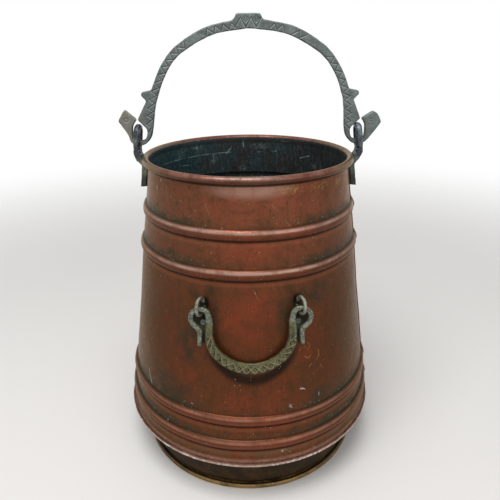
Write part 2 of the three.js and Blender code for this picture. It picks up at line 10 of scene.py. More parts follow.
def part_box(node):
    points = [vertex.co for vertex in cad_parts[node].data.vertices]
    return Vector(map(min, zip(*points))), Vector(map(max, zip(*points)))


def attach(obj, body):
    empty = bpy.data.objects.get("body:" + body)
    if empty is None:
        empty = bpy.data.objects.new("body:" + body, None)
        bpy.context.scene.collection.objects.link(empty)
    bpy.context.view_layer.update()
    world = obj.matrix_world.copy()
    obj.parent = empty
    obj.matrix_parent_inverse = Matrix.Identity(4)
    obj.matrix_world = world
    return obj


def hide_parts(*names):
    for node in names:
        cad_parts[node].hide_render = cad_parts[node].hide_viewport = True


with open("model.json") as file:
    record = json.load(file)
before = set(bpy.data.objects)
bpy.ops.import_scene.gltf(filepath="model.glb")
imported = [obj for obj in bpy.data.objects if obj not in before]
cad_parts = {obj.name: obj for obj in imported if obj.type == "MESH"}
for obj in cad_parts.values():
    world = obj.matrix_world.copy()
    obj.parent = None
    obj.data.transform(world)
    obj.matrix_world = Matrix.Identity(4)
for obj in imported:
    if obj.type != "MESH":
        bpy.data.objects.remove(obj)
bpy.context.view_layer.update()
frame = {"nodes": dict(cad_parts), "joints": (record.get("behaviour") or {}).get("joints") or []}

MM = 0.001
NODES = frame["nodes"]
JOINTS = {joint["name"]: joint for joint in frame["joints"]}

# ---- camera of the photograph
FRAME_SIDE = 500  # pixels of the photograph's frame
FOCAL = 512  # in the same pixels
AXIS_AT = (248.2, 213.4)  # pixel on the camera's axis
CAMERA_AT = Vector((0, -0.5211, 0.4293))
PITCH_DOWN = math.radians(18.5)
ROLL = math.radians(-0.491)
SENSOR = 36  # width in millimetres

# ---- sizes, as the CAD has them
FLANGE_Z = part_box("body_shell")[0].z
RIM_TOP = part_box("body_shell")[1].z
FLOOR_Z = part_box("floor_pan")[0].z
SEAM_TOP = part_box("floor_pan")[1].z
SEAM_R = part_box("floor_pan")[1].x
SHEET = 1.0 * MM
FIT = 0.3 * MM
ROLL_OUT = 3.5 * MM  # outside of the rolled rim's section
ROLL_IN = ROLL_OUT - SHEET
ROLL_END = -122  # degrees; 0 is outwards and -90 is down
RIM_Z = RIM_TOP - 2 * ROLL_OUT
RIM_WALL_R = 101.7 * MM
FLOOR_WALL_R = 133.4 * MM
TAPER = (FLOOR_WALL_R - RIM_WALL_R) / (RIM_Z - SEAM_TOP)
ROLL_R = RIM_WALL_R - SHEET + ROLL_OUT
FLARE_HEIGHT = 5 * MM
FLARE_OUT = 0.8 * MM
BEADS = [FLOOR_Z + 22.1 * MM, FLOOR_Z + 46.6 * MM, RIM_Z - 80.8 * MM, RIM_Z - 44.5 * MM]
BEAD_HEIGHT = 10 * MM
BEAD_PROUD = 2.8 * MM
LAP_WIDTH = 29 * MM
LAP_SHORT = 1.2 * MM
HEM_WIDTH = 2.0 * MM
FOOT_R = 115.9 * MM
FOOT_ROLL_OUT = 2.9 * MM
FOOT_ROLL_IN = FOOT_ROLL_OUT - SHEET
FOOT_STEP = 2.4 * MM
FOOT_STEP_HEIGHT = 3.5 * MM
FOOT_ROLL_END = 50
FOOT_WORN = 20  # degrees to each side of the roll's underside
FOOT_LEDGE = 10 * MM
FOOT_ROLL_R = FOOT_R - FOOT_STEP - SHEET + FOOT_ROLL_OUT
FOOT_ROLL_Z = FOOT_ROLL_OUT * math.cos(math.radians(FOOT_WORN))

# ---- fineness of the meshes
TURNS = 360  # columns of a turned sheet
WALL_SPACING = 2.4 * MM  # between rows of the plain wall
SHARP_EDGE = 50  # degrees; edges of sheet that are shaded sharp
SHARP_CORNER = 50  # degrees; corners of a flat bar that stay corners
WEAR = 0.5  # share by which each round of wear smooths a forged piece
BAR_ROUNDS = 5  # rounds of wear on a flat bar
TINY = 1e-12  # keeps a division by a squared length from failing

# ---- places on the bail and the drop handle
HANDLE_AXIS = Vector(JOINTS["front_handle_swing"]["pos_m"])
BAIL_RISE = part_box("bail")[1].z - JOINTS["bail_swing"]["pos_m"][2]
LEFT_PUNCH = (-122 * MM, 23.2 * MM)
RIGHT_PUNCH = (124.8 * MM, 21.6 * MM)


def srgb(red, green, blue):
    """Scene-linear colour of an 8-bit screen colour."""
    return tuple(
        (c / 255 / 12.92) if c / 255 <= 0.04045 else ((c / 255 + 0.055) / 1.055) ** 2.4
        for c in (red, green, blue)
    ) + (1.0,)


# ---- geometry in plain arrays
def lumps(points, wavelength, seed, waves=9):
    """Smooth noise at the points, mostly between -1 and 1."""
    rng = np.random.default_rng(seed)
    total = np.zeros(len(points))
    for _ in range(waves):
        heading = rng.normal(size=3)
        heading *= 2 * math.pi / (wavelength * rng.uniform(0.7, 1.5) * np.linalg.norm(heading))
        total += np.sin(points @ heading + rng.uniform(0, 2 * math.pi))
    return total / math.sqrt(waves)


def smoothstep(value, low, high):
    t = np.clip((value - low) / (high - low), 0, 1)
    return t * t * (3 - 2 * t)


def arc(centre, radius, start, end, steps):
    """Points of an arc, with its angles in degrees."""
    angle = np.radians(np.linspace(start, end, steps + 1))
    return np.column_stack([centre[0] + radius * np.cos(angle), centre[1] + radius * np.sin(angle)])


def straight(start, end):
    """Points of a straight stretch of a section."""
    return np.linspace(start, end, 12)


def new_object(name, mesh):
    piece = bpy.data.objects.new(name, mesh)
    bpy.context.scene.collection.objects.link(piece)
    return piece


def mesh_object(name, vertices, faces):
    """Object of a closed mesh, with its faces turned outwards."""
    mesh = bpy.data.meshes.new(name)
    mesh.from_pydata(vertices.tolist(), [], faces)
    shape = bmesh.new()
    shape.from_mesh(mesh)
    bmesh.ops.remove_doubles(shape, verts=shape.verts, dist=0.001 * MM)
    bmesh.ops.recalc_face_normals(shape, faces=shape.faces)
    shape.to_mesh(mesh)
    shape.free()
    mesh.shade_smooth()
    mesh.set_sharp_from_angle(angle=math.radians(SHARP_EDGE))
    return new_object(name, mesh)


def spun(radii, heights, azimuths):
    """Points of the model at those radii, heights and azimuths."""
    x, y = radii * np.cos(azimuths), radii * np.sin(azimuths)
    return np.stack([x, y, heights], axis=-1).reshape(-1, 3)


def repeated(section, columns):
    """Radii and heights of a section, the same in each column."""
    return [np.repeat(section[:, i:i + 1], columns, axis=1) for i in (0, 1)]


def turned(name, radii, heights, azimuths):
    """Ring whose section has a row in radii and heights for each point, with a column for
    each azimuth."""
    index = np.arange(radii.size).reshape(radii.shape)
    across = np.roll(index, -1, axis=1)
    above = np.roll(index, -1, axis=0)
    corner = np.roll(above, -1, axis=1)
    faces = np.stack([index, across, corner, above], axis=-1).reshape(-1, 4).tolist()
    return mesh_object(name, spun(radii, heights, azimuths), faces)


def turned_section(name, section, turns=TURNS, uneven=None):
    """Ring of one section all round, with its radii made uneven where asked."""
    azimuths = np.linspace(0, 2 * math.pi, turns, endpoint=False)
    radii, heights = repeated(section, turns)
    if uneven:
        radii = uneven(radii, heights, azimuths)
    return turned(name, radii, heights, azimuths)


def dress(piece, look, body, slot, *replaced):
    piece.data.materials.clear()
    piece.data.materials.append(look)
    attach(piece, body)
    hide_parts(*replaced)
    return piece


# ---- places seen in the photograph
def sight_line(pixel):
    """Direction from the camera through a pixel of the photograph."""
    across, down = pixel[0] - AXIS_AT[0], pixel[1] - AXIS_AT[1]
    u = across * math.cos(ROLL) + down * math.sin(ROLL)
    v = down * math.cos(ROLL) - across * math.sin(ROLL)
    forward = Vector((0, math.cos(PITCH_DOWN), -math.sin(PITCH_DOWN)))
    up = Vector((0, math.sin(PITCH_DOWN), math.cos(PITCH_DOWN)))
    return forward + Vector((1, 0, 0)) * (u / FOCAL) - up * (v / FOCAL)


def on_wall(pixel, inside=False):
    """Point of the wall's outside, or of its far inside, that is seen at a pixel."""
    line = sight_line(pixel)
    reach = RIM_WALL_R + TAPER * (RIM_Z - CAMERA_AT.z) - (SHEET if inside else 0)
    a = line.x**2 + line.y**2 - (TAPER * line.z) ** 2
    b = 2 * (CAMERA_AT.x * line.x + CAMERA_AT.y * line.y + TAPER * line.z * reach)
    c = CAMERA_AT.x**2 + CAMERA_AT.y**2 - reach**2
    root = math.sqrt(max(b * b - 4 * a * c, 0)) * (1 if inside else -1)
    return CAMERA_AT + line * ((root - b) / (2 * a))


# ---- bucket wall
def wall_radius(z):
    return RIM_WALL_R + TAPER * (RIM_Z - z)


def wall_line():
    """Outside of the wall from the floor seam up to the rolled rim: radius and height."""
    heights = set(np.linspace(SEAM_TOP, SEAM_TOP + FLARE_HEIGHT, 7))
    for end in (SEAM_TOP + FLARE_HEIGHT + LAP_SHORT, RIM_Z - LAP_SHORT):
        heights.update(end + np.array([-0.25, -0.08, 0.08, 0.25]) * MM)
    for bead in BEADS:
        heights.update(bead - BEAD_HEIGHT / 2 * np.cos(np.linspace(0, math.pi, 21)))
    heights.add(RIM_Z)
    ordered = sorted(heights)
    spaced = []
    for low, high in zip(ordered, ordered[1:]):
        steps = max(1, round((high - low) / WALL_SPACING))
        spaced.extend(np.linspace(low, high, steps + 1)[:-1])
    z = np.array(spaced + [RIM_Z])
    radius = wall_radius(z)
    radius += FLARE_OUT * (1 - np.clip((z - SEAM_TOP) / FLARE_HEIGHT, 0, 1)) ** 2
    for bead in BEADS:
        away = np.clip(np.abs(z - bead) / (BEAD_HEIGHT / 2), 0, 1)
        radius += BEAD_PROUD * np.sqrt(1 - away**2)
    return np.column_stack([radius, z])


def wall_columns():
    """Azimuths of the wall's columns, dense along both edges of the lap, and the azimuth
    of the lap's edge at the rim."""
    even = np.linspace(-math.pi, math.pi, TURNS, endpoint=False)
    edge = math.asin(LAP_WIDTH / 2 / RIM_WALL_R)
    near = edge + np.array([-0.3, -0.12, -0.03, 0.03, 0.2]) * MM / RIM_WALL_R
    even = even[np.min(np.abs(np.abs(even)[:, None] - near[None, :]), axis=1) > 0.002]
    return np.sort(np.concatenate([even, near, -near])), edge


# Dents in the wall: pixel, radius and depth in millimetres.
DENTS = [
    ((176, 256), 7, 0.5), ((150, 300), 22, 0.5), ((214, 405), 26, 0.45), ((304, 205), 24, 0.4),
    ((335, 395), 20, 0.45), ((262, 330), 34, 0.35),
]


def wall_unevenness(points):
    """How far the sheet stands out from its true shape."""
    z = points[:, 2]
    free = smoothstep(z, SEAM_TOP, SEAM_TOP + 18 * MM) * smoothstep(RIM_TOP - z, 0, 22 * MM)
    waves = 0.22 * MM * lumps(points, 70 * MM, 1) + 0.06 * MM * lumps(points, 21 * MM, 2)
    for pixel, radius, depth in DENTS:
        away = np.linalg.norm(points - np.array(on_wall(pixel)), axis=1)
        waves -= depth * MM * np.exp(-((away / (radius * MM)) ** 2))
    return waves * (0.15 + 0.85 * free)


def body_wall():
    outside = wall_line()
    inside = (outside - [SHEET, 0])[::-1]
    roll = (ROLL_R, RIM_Z + ROLL_OUT)
    leaf = SEAM_R - SHEET - FIT
    flange = np.array([[leaf, FLANGE_Z], [leaf, FLANGE_Z + SHEET]])
    section = np.concatenate([
        flange,
        outside[:1] - [0, SEAM_TOP - FLANGE_Z - SHEET],
        outside,
        arc(roll, ROLL_IN, 178, ROLL_END, 26),
        arc(roll, ROLL_OUT, ROLL_END, 180, 40),
        inside[1:],
        [[outside[0][0] - SHEET, FLANGE_Z]],
    ])
    columns, edge = wall_columns()
    radii, heights = repeated(section, len(columns))
    # The columns near the lap keep its edges parallel, so they swing with the radius.
    edge_here = np.arcsin(LAP_WIDTH / 2 / radii)
    aside = np.abs(columns)
    far = math.radians(60)
    inner = columns * edge_here / edge
    outer = np.sign(columns) * (edge_here + (aside - edge) * (far - edge_here) / (far - edge))
    azimuths = np.where(aside <= edge, inner, np.where(aside < far, outer, columns))
    # The lap's outer leaf stands one sheet out, between its two ends.
    lap = np.zeros(len(section))
    first = len(flange) + 1
    z = outside[:, 1]
    bottom, top = SEAM_TOP + FLARE_HEIGHT + LAP_SHORT, RIM_Z - LAP_SHORT
    soft = 0.1 * MM
    ends = smoothstep(z, bottom - soft, bottom + soft) * smoothstep(-z, -top - soft, soft - top)
    lap[first:first + len(outside)] = ends
    raised = smoothstep((edge - aside) * RIM_WALL_R, -0.05 * MM, 0.2 * MM)
    radii = radii + SHEET * lap[:, None] * raised[None, :]
    radii += wall_unevenness(spun(radii, heights, azimuths)).reshape(radii.shape)
    return turned("copper_wall", radii, heights, azimuths)


def keep(piece, name, values):
    """Stores one number for each point of the piece, for its material to read."""
    attribute = piece.data.attributes.new(name, "FLOAT", "POINT")
    attribute.data.foreach_set("value", values.astype(np.float32))


def soft_spots(points, spots, inside=False):
    """Mask of soft spots: each a pixel of the photograph, a half width and a half height."""
    mask = np.zeros(len(points))
    for pixel, across, tall in spots:
        size = np.array([across, across, tall]) * MM
        off = (points - np.array(on_wall(pixel, inside))) / size
        mask = np.maximum(mask, 1 - smoothstep(np.linalg.norm(off, axis=1), 0.25, 1.0))
    return mask


def shade_of_bow(points):
    """Mask of the painted shadow: a dark arc on the wall just under the drop handle's bow."""
    middle = on_wall(BOW_MIDDLE)
    across, below = points[:, 0] - middle.x, middle.z - points[:, 2]
    reach = np.hypot(across, BOW_OVAL * below)
    arc_mask = smoothstep(reach, 36 * MM, 41 * MM) * (1 - smoothstep(reach, 44.5 * MM, 50 * MM))
    return arc_mask * smoothstep(below, 10 * MM, 36 * MM) * (points[:, 1] < 0)


# Keeps the wall's masks of stains and painted light, and of the painted shadow under the bow.
def paint_wall_stains_and_light(piece):
    points = points_and_normals(piece.data)[0]
    for name, spots in WALL_STAINS_AND_LIGHT.items():
        keep(piece, name, soft_spots(points, spots))
    keep(piece, "smudge", soft_spots(points, INSIDE_SMUDGES, inside=True))
    keep(piece, "shade", shade_of_bow(points))


def looks_inwards(face):
    """True for the inside of the wall, and for the inner side of the rolled rim up to just above its
    middle, which takes the dark inside look as painted shade.
    """
    centre, normal = face.center, face.normal
    reach = math.hypot(centre.x, centre.y)
    outwards = (centre.x * normal.x + centre.y * normal.y) / reach
    in_wall = reach < wall_radius(centre.z) + BEAD_PROUD and centre.z < RIM_TOP - ROLL_IN
    return in_wall and outwards < -0.4


def mark_inside(piece, look):
    """Gives the inside of the bucket its own look."""
    piece.data.materials.append(look)
    for face in piece.data.polygons:
        face.material_index = int(looks_inwards(face))


# ---- floor, foot and wires
def nibbled(radii, heights, azimuths):
    """The folded edge of the floor is worn and dented: it only loses size."""
    points = spun(radii, heights, azimuths)
    rough = np.clip(lumps(points, 9 * MM, 11), 0, 1) + 0.6 * np.clip(lumps(points, 3.5 * MM, 12), 0, 1)
    return radii - 0.28 * MM * rough.reshape(radii.shape) * (radii > SEAM_R - HEM_WIDTH * 0.6)


def floor_pan():
    corner = 0.5 * MM
    hem, inside, low, high = SEAM_R - HEM_WIDTH, SEAM_R - SHEET, FLOOR_Z + SHEET, SEAM_TOP - SHEET
    section = np.concatenate([
        straight((0, FLOOR_Z), (SEAM_R - 2 * MM, FLOOR_Z)),
        arc((SEAM_R - corner, FLOOR_Z + corner), corner, -90, 0, 4),
        arc((SEAM_R - corner, SEAM_TOP - corner), corner, 0, 90, 5),
        [[hem, SEAM_TOP], [hem, high], [inside, high], [inside, low]],
        straight((SEAM_R - 3 * MM, low), (0, low)),
    ])
    return turned_section("copper_floor", section, uneven=nibbled)


def foot_roll(radius, steps):
    middle = (FOOT_ROLL_R, FOOT_ROLL_Z)
    return np.concatenate([
        arc(middle, radius, 180, 270 - FOOT_WORN, steps),
        arc(middle, radius, 270 + FOOT_WORN, 360 + FOOT_ROLL_END, 2 * steps),
    ])


def dented_foot(radii, heights, azimuths):
    waves = lumps(spun(radii, heights, azimuths), 45 * MM, 21).reshape(radii.shape)
    return radii + 0.2 * MM * waves * smoothstep(heights, 0, 3 * MM)


def foot_ring():
    top = FLOOR_Z - FIT
    step_bottom = 2 * FOOT_ROLL_OUT
    step_top = step_bottom + FOOT_STEP_HEIGHT
    t = np.linspace(0, 1, 7)[1:-1]
    out = FOOT_R - FOOT_STEP * (1 - smoothstep(t, 0, 1))
    step_out = np.column_stack([out, step_bottom + FOOT_STEP_HEIGHT * t])
    section = np.concatenate([
        straight((FOOT_R, step_top), (FOOT_R, top)),
        [[FOOT_R - FOOT_LEDGE, top], [FOOT_R - FOOT_LEDGE, top - SHEET]],
        straight((FOOT_R - SHEET, top - SHEET), (FOOT_R - SHEET, step_top - SHEET)),
        (step_out - [SHEET, 0])[::-1],
        [[FOOT_R - FOOT_STEP - SHEET, step_bottom]],
        foot_roll(FOOT_ROLL_OUT, 12),
        foot_roll(FOOT_ROLL_IN, 8)[::-1],
        [[FOOT_R - FOOT_STEP, step_bottom]],
        step_out,
    ])
    return turned_section("copper_foot", section, uneven=dented_foot)


def wire_section(node, middle_z):
    """Section of a wire inside a rolled edge, from the size of its CAD node."""
    low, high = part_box(node)
    radius = (high.z - low.z) / 2
    return arc((high.x - radius, middle_z), radius, 0, 345, 23)


# ---- fine copies of forged pieces
def welded(node):
    """The CAD node's mesh in a bmesh, with its corners joined up."""
    shape = bmesh.new()
    shape.from_mesh(NODES[node].data)
    bmesh.ops.remove_doubles(shape, verts=shape.verts, dist=0.002 * MM)
    return shape


def remeshed(name, mesh, voxel, rounds):
    """Even fine mesh of a closed one, with its edges worn round."""
    rough = new_object(name + "_rough", mesh)
    remesh = rough.modifiers.new("fine", "REMESH")
    remesh.mode = "VOXEL"
    remesh.voxel_size = voxel
    worn = rough.modifiers.new("worn", "SMOOTH")
    worn.factor = WEAR
    worn.iterations = rounds
    evaluated = rough.evaluated_get(bpy.context.evaluated_depsgraph_get())
    fine = bpy.data.meshes.new_from_object(evaluated)
    bpy.data.objects.remove(rough)
    fine.name = name
    fine.shade_smooth()
    return new_object(name, fine)


def points_and_normals(mesh):
    """Places and normals of the vertices, as two arrays."""
    both = np.zeros((2, len(mesh.vertices) * 3))
    mesh.vertices.foreach_get("co", both[0])
    mesh.vertex_normals.foreach_get("vector", both[1])
    return both.reshape(2, -1, 3)


def move(mesh, points):
    mesh.vertices.foreach_set("co", points.ravel())
    mesh.update()


def hammered(piece, size, depth, seed):
    """Pushes the surface in and out a little along its normals, inside its own box."""
    points, normals = points_and_normals(piece.data)
    push = depth * (lumps(points, size, seed) + 0.4 * lumps(points, size / 3, seed + 1))
    low, high = points.min(axis=0), points.max(axis=0)
    move(piece.data, np.clip(points + normals * push[:, None], low, high))
    return piece


def forged(node, voxel, rounds, size, depth, seed):
    """Fine, slightly uneven copy of a CAD node."""
    shape = welded(node)
    mesh = bpy.data.meshes.new(node)
    shape.to_mesh(mesh)
    shape.free()
    return hammered(remeshed(node + "_fine", mesh, voxel, rounds), size, depth, seed)


# ---- flat engraved bars
class FlatBar:
    """A CAD node that is one flat bar in its own plane, as outline and thickness."""

    def __init__(self, node, joint):
        self.node = node
        shape = welded(node)
        points = np.array([v.co for v in shape.verts])
        self.origin = np.array(JOINTS[joint]["pos_m"])
        across = np.array(JOINTS[joint]["axis"])
        self.right = across * np.sign(across[0]) / np.linalg.norm(across)
        spread = points - points.mean(axis=0)
        normal = np.linalg.svd(spread, full_matrices=False)[2][2]
        normal -= self.right * (normal @ self.right)
        self.front = -normal * np.sign(normal[1]) / np.linalg.norm(normal)
        self.up = np.cross(self.right, -self.front)
        self.up *= np.sign(self.up[2])
        depth = (points - self.origin) @ self.front
        self.middle = (depth.max() + depth.min()) / 2
        self.thick = depth.max() - depth.min()
        off = np.abs(depth - self.middle)
        level = off.min()
        self.chamfer = self.thick / 2 - level
        rim = set(np.flatnonzero((depth > self.middle) & (off < level + 0.01 * MM)).tolist())
        self.outline = self._loop(shape, points, rim)
        shape.free()

    def _loop(self, shape, points, rim):
        """Outline through the points of the rim, in the bar's plane."""
        following = {}
        for edge in shape.edges:
            a, b = (v.index for v in edge.verts)
            if a in rim and b in rim:
                following.setdefault(a, []).append(b)
                following.setdefault(b, []).append(a)
        start = min(following)
        path, last, here = [start], None, start
        while True:
            step = [n for n in following[here] if n != last]
            last, here = here, step[0]
            if here == start:
                break
            path.append(here)
        return self.flat(points[path])

    def space(self, flat, depth):
        """Points of the bar's plane, that far in front of its middle, in the model's frame."""
        in_plane = self.origin + flat[:, :1] * self.right + flat[:, 1:] * self.up
        return in_plane + (self.middle + depth) * self.front

    def flat(self, points):
        """Places of points of the model in the bar's plane."""
        off = points - self.origin
        return np.column_stack([off @ self.right, off @ self.up])


def turning(points):
    """Angle by which a closed outline turns at each point."""
    before = points - np.roll(points, 1, axis=0)
    after = np.roll(points, -1, axis=0) - points
    cross = before[:, 0] * after[:, 1] - before[:, 1] * after[:, 0]
    return np.degrees(np.arctan2(cross, (before * after).sum(axis=1)))


def flowing(points, spacing):
    """Smooth curve through a closed outline, which keeps its sharp corners."""
    sharp = np.abs(turning(points)) > SHARP_CORNER
    count = len(points)
    dense = []
    for i in range(count):
        p1, p2 = points[i], points[(i + 1) % count]
        p0 = 2 * p1 - p2 if sharp[i] else points[i - 1]
        p3 = 2 * p2 - p1 if sharp[(i + 1) % count] else points[(i + 2) % count]
        length = np.linalg.norm(p2 - p1)
        m1 = (p2 - p0) * length / (np.linalg.norm(p1 - p0) + length)
        m2 = (p3 - p1) * length / (np.linalg.norm(p3 - p2) + length)
        t = np.linspace(0, 1, max(2, round(length / spacing)) + 1)[:-1, None]
        first = (2 * t**3 - 3 * t**2 + 1) * p1 + (t**3 - 2 * t**2 + t) * m1
        dense.append(first + (3 * t**2 - 2 * t**3) * p2 + (t**3 - t**2) * m2)
    return np.concatenate(dense)


def rounded(points, radius):
    """Rounds the corners of a dense outline over about that length."""
    steps = max(1, int((radius / np.linalg.norm(points[1] - points[0])) ** 2))
    for _ in range(5 * steps):
        points = 0.5 * points + 0.25 * (np.roll(points, 1, axis=0) + np.roll(points, -1, axis=0))
    return points


def bar_mesh(bar, spacing, radius):
    """Closed mesh of the bar with chamfered edges, ready to be remeshed."""
    outline = rounded(flowing(bar.outline, spacing), radius)
    along = np.roll(outline, -1, axis=0) - np.roll(outline, 1, axis=0)
    along /= np.linalg.norm(along, axis=1)[:, None]
    x, y = outline.T
    area = (x * np.roll(y, -1) - np.roll(x, -1) * y).sum()
    inwards = np.column_stack([-along[:, 1], along[:, 0]]) * np.sign(area)
    half = bar.thick / 2
    inset = outline + inwards * bar.chamfer
    layers = [
        bar.space(inset, -half),
        bar.space(outline, bar.chamfer - half),
        bar.space(outline, half - bar.chamfer),
        bar.space(inset, half),
    ]
    count = len(outline)
    index = np.arange(4 * count).reshape(4, count)
    ahead = np.roll(index, -1, axis=1)
    faces = np.stack([index[:-1], ahead[:-1], ahead[1:], index[1:]], axis=-1).reshape(-1, 4).tolist()
    faces += [index[0][::-1].tolist(), index[3].tolist()]
    mesh = bpy.data.meshes.new(bar.node)
    mesh.from_pydata(np.concatenate(layers).tolist(), [], faces)
    return mesh, outline


def crossings(outline, centre, angle):
    """Distances at which a ray in the bar's plane crosses the outline, in order."""
    heading = np.array([math.cos(angle), math.sin(angle)])
    side = np.array([-heading[1], heading[0]])
    off = (outline - centre) @ side
    ahead = (outline - centre) @ heading
    next_off, next_ahead = np.roll(off, -1), np.roll(ahead, -1)
    hit = off * next_off < 0
    share = off[hit] / (off[hit] - next_off[hit])
    reach = ahead[hit] + share * (next_ahead[hit] - ahead[hit])
    return np.sort(reach[reach > 0])


# Shape of a groove's burr: distance from the groove, width and height, as shares of the
# groove's width and depth.
BURR_OFF = 1.7
BURR_WIDTH = 0.8
BURR_HEIGHT = 0.15


def engrave(piece, bar, strokes, width, depth):
    """Cuts grooves along strokes, which are pairs of points in the bar's plane with a
    depth from 0 to 1, or below 0 for a groove that is dark. Keeps how deep each point
    lies, how near a groove's lip it is, and whether it is on an underside."""
    points, normals = points_and_normals(piece.data)
    flat = bar.flat(points)
    facing = smoothstep(normals @ bar.front, 0.55, 0.85)
    cut, dark, lip = (np.zeros(len(points)) for _ in range(3))
    for start, end, strength in strokes:
        start, end = np.array(start), np.array(end)
        low, high = np.minimum(start, end) - 3 * width, np.maximum(start, end) + 3 * width
        near = np.flatnonzero(((flat > low) & (flat < high)).all(axis=1) & (facing > 0))
        along = end - start
        t = np.clip((flat[near] - start) @ along / max(along @ along, TINY), 0, 1)
        away = np.linalg.norm(flat[near] - start - t[:, None] * along, axis=1)
        kept = cut if strength > 0 else dark
        kept[near] = np.maximum(kept[near], abs(strength) * np.exp(-((away / width) ** 2)))
        below = (flat[near, 1] - start[1] - t * along[1]) < 0
        burr_light_and_shade = max(strength, 0) * np.exp(-(((away / width - BURR_OFF) / BURR_WIDTH) ** 2)) * below
        lip[near] = np.maximum(lip[near], burr_light_and_shade)
    cut *= facing
    dark *= facing
    lip *= facing * (1 - np.clip(cut * 2, 0, 1))
    move(piece.data, points + bar.front * ((BURR_HEIGHT * lip - np.maximum(cut, dark)) * depth)[:, None])
    under = smoothstep(-normals @ bar.up, 0.35, 0.8) * (1 - facing)
    for name, values in (("cut", cut), ("dark", dark), ("lip", lip), ("under", under)):
        keep(piece, name, values)


def polar(centre, angle, reach):
    return np.array(centre) + reach * np.array([math.cos(angle), math.sin(angle)])


def joined(points, strength):
    """Strokes from each point to the next."""
    return [(a, b, strength) for a, b in zip(points, points[1:])]


def circle(centre, radius, strength):
    """Strokes of a small punched ring."""
    return joined([polar(centre, angle, radius) for angle in np.linspace(0, 2 * math.pi, 13)], strength)


# ---- materials
class Look:
    """One material, or a world. Most methods add a node and return its output."""

    def __init__(self, name, kind=bpy.data.materials):
        self.material = kind.new(name)
        self.material.use_nodes = True
        self.nodes = self.material.node_tree.nodes
        self.links = self.material.node_tree.links
        self.nodes.clear()
        self.here = self.nodes.new("ShaderNodeTexCoord").outputs["Object"]
        split = self.nodes.new("ShaderNodeSeparateXYZ")
        self.links.new(self.here, split.inputs[0])
        self.x, self.y, self.z = split.outputs
        self.colour, self.finish = None, ()

    def feed(self, socket, value):
        if isinstance(value, bpy.types.NodeSocket):
            self.links.new(value, socket)
        else:
            socket.default_value = value

    def add(self, kind, *values, operation=None, **named):
        """New node, fed by order and then by name."""
        node = self.nodes.new("ShaderNode" + kind)
        if operation:
            node.operation = operation
        for socket, value in zip(node.inputs, values):
            self.feed(socket, value)
        for name, value in named.items():
            self.feed(node.inputs[name.replace("_", " ")], value)
        return node

    def math(self, operation, *values, clamp=False):
        node = self.add("Math", *values, operation=operation)
        node.use_clamp = clamp
        return node.outputs[0]

    def vector(self, operation, *values, out=0, **named):
        return self.add("VectorMath", *values, operation=operation, **named).outputs[out]

    def stretched(self, x, y, z):
        return self.vector("MULTIPLY", self.here, (x, y, z))

    def noise(self, size, detail, roughness, at=None):
        node = self.add("TexNoise", at or self.here, Detail=detail, Roughness=roughness)
        node.inputs["Scale"].default_value = 1 / (size * MM)
        return node.outputs["Fac"]

    def mark(self, name):
        """The number that keep() stored under that name."""
        node = self.add("Attribute")
        node.attribute_name = name
        return node.outputs["Fac"]

    def step(self, value, low, high, start=0.0, end=1.0):
        node = self.add("MapRange", value, low, high, start, end)
        node.interpolation_type = "SMOOTHSTEP"
        return node.outputs[0]

    def rise(self, place, low, high):
        """Mask that grows from one height to another, in millimetres above a place."""
        return self.step(self.z, place + low * MM, place + high * MM)

    def band(self, value, low, high, soft):
        rise = self.step(value, low - soft, low + soft)
        fall = self.step(value, high - soft, high + soft, 1.0, 0.0)
        return self.math("MULTIPLY", rise, fall)

    def mix(self, share, first, second):
        """Blend of two colours, each from a node or a screen colour."""
        node = self.add("Mix", share)
        node.data_type = "RGBA"
        for socket, tint in ((6, first), (7, second)):
            self.feed(node.inputs[socket], srgb(*tint) if isinstance(tint, tuple) else tint)
        return node.outputs[2]

    def fold(self, operation, values):
        total = values[0]
        for value in values[1:]:
            total = self.math(operation, total, value)
        return total

    def times(self, *values):
        return self.fold("MULTIPLY", values)

    def most(self, *values):
        return self.fold("MAXIMUM", values)

    def plus(self, *values):
        return self.fold("ADD", values)

    def minus(self, first, second):
        return self.math("SUBTRACT", first, second)

    def boost(self, value, gain):
        return self.math("MULTIPLY", value, gain, clamp=True)

    def sideways(self):
        return self.math("ABSOLUTE", self.x)

    def from_axis(self):
        """Distance from the bucket's axis."""
        return self.math("SQRT", self.plus(self.times(self.x, self.x), self.times(self.y, self.y)))

    def specks(self, size, biggest, share):
        """Small dots at random places: the share of the cells that have one."""
        cells = self.add("TexVoronoi", self.here)
        cells.inputs["Scale"].default_value = 1 / (size * MM)
        draw = self.add("SeparateColor", cells.outputs["Color"])
        chosen = self.step(draw.outputs[0], share, share * 0.8)
        reach = self.math("MULTIPLY", draw.outputs[1], biggest)
        return self.times(chosen, self.step(self.minus(cells.outputs["Distance"], reach), 0.02, -0.02))

    def scratches(self, paths, width, inside=False):
        """Mask of thin strokes on the wall, each through pixels of the photograph."""
        masks = []
        for pixels in paths:
            points = [on_wall(pixel, inside) for pixel in pixels]
            masks += [self.line(a, b, width * MM) for a, b in zip(points, points[1:])]
        return self.most(*masks)

    def stain(self, pixel, across, tall):
        """Mask of a spot on the wall, at a pixel of the photograph."""
        off = self.vector("SUBTRACT", self.here, tuple(on_wall(pixel)))
        shrunk = self.vector("DIVIDE", off, (across * MM, across * MM, tall * MM))
        return self.step(self.vector("LENGTH", shrunk, out=1), 1.0, 0.25)

    def stains(self, *spots):
        return self.most(*[self.stain(*spot) for spot in spots])

    def line(self, start, end, width):
        """Mask of a thin stroke between two points of the model."""
        off = self.vector("SUBTRACT", self.here, tuple(start))
        along = (end - start) / max((end - start).length_squared, TINY)
        t = self.boost(self.vector("DOT_PRODUCT", off, tuple(along), out=1), 1.0)
        nearest = self.vector("SCALE", tuple(end - start), Scale=t)
        away = self.vector("LENGTH", self.vector("SUBTRACT", off, nearest), out=1)
        return self.step(away, width, width * 0.3)

    def bump(self, height, distance):
        return self.add("Bump", Distance=distance * MM, Height=height).outputs[0]

    def paint(self, tint, *masks):
        """Lays a colour over the look's own."""
        self.colour = self.mix(self.times(*masks), self.colour, tint)

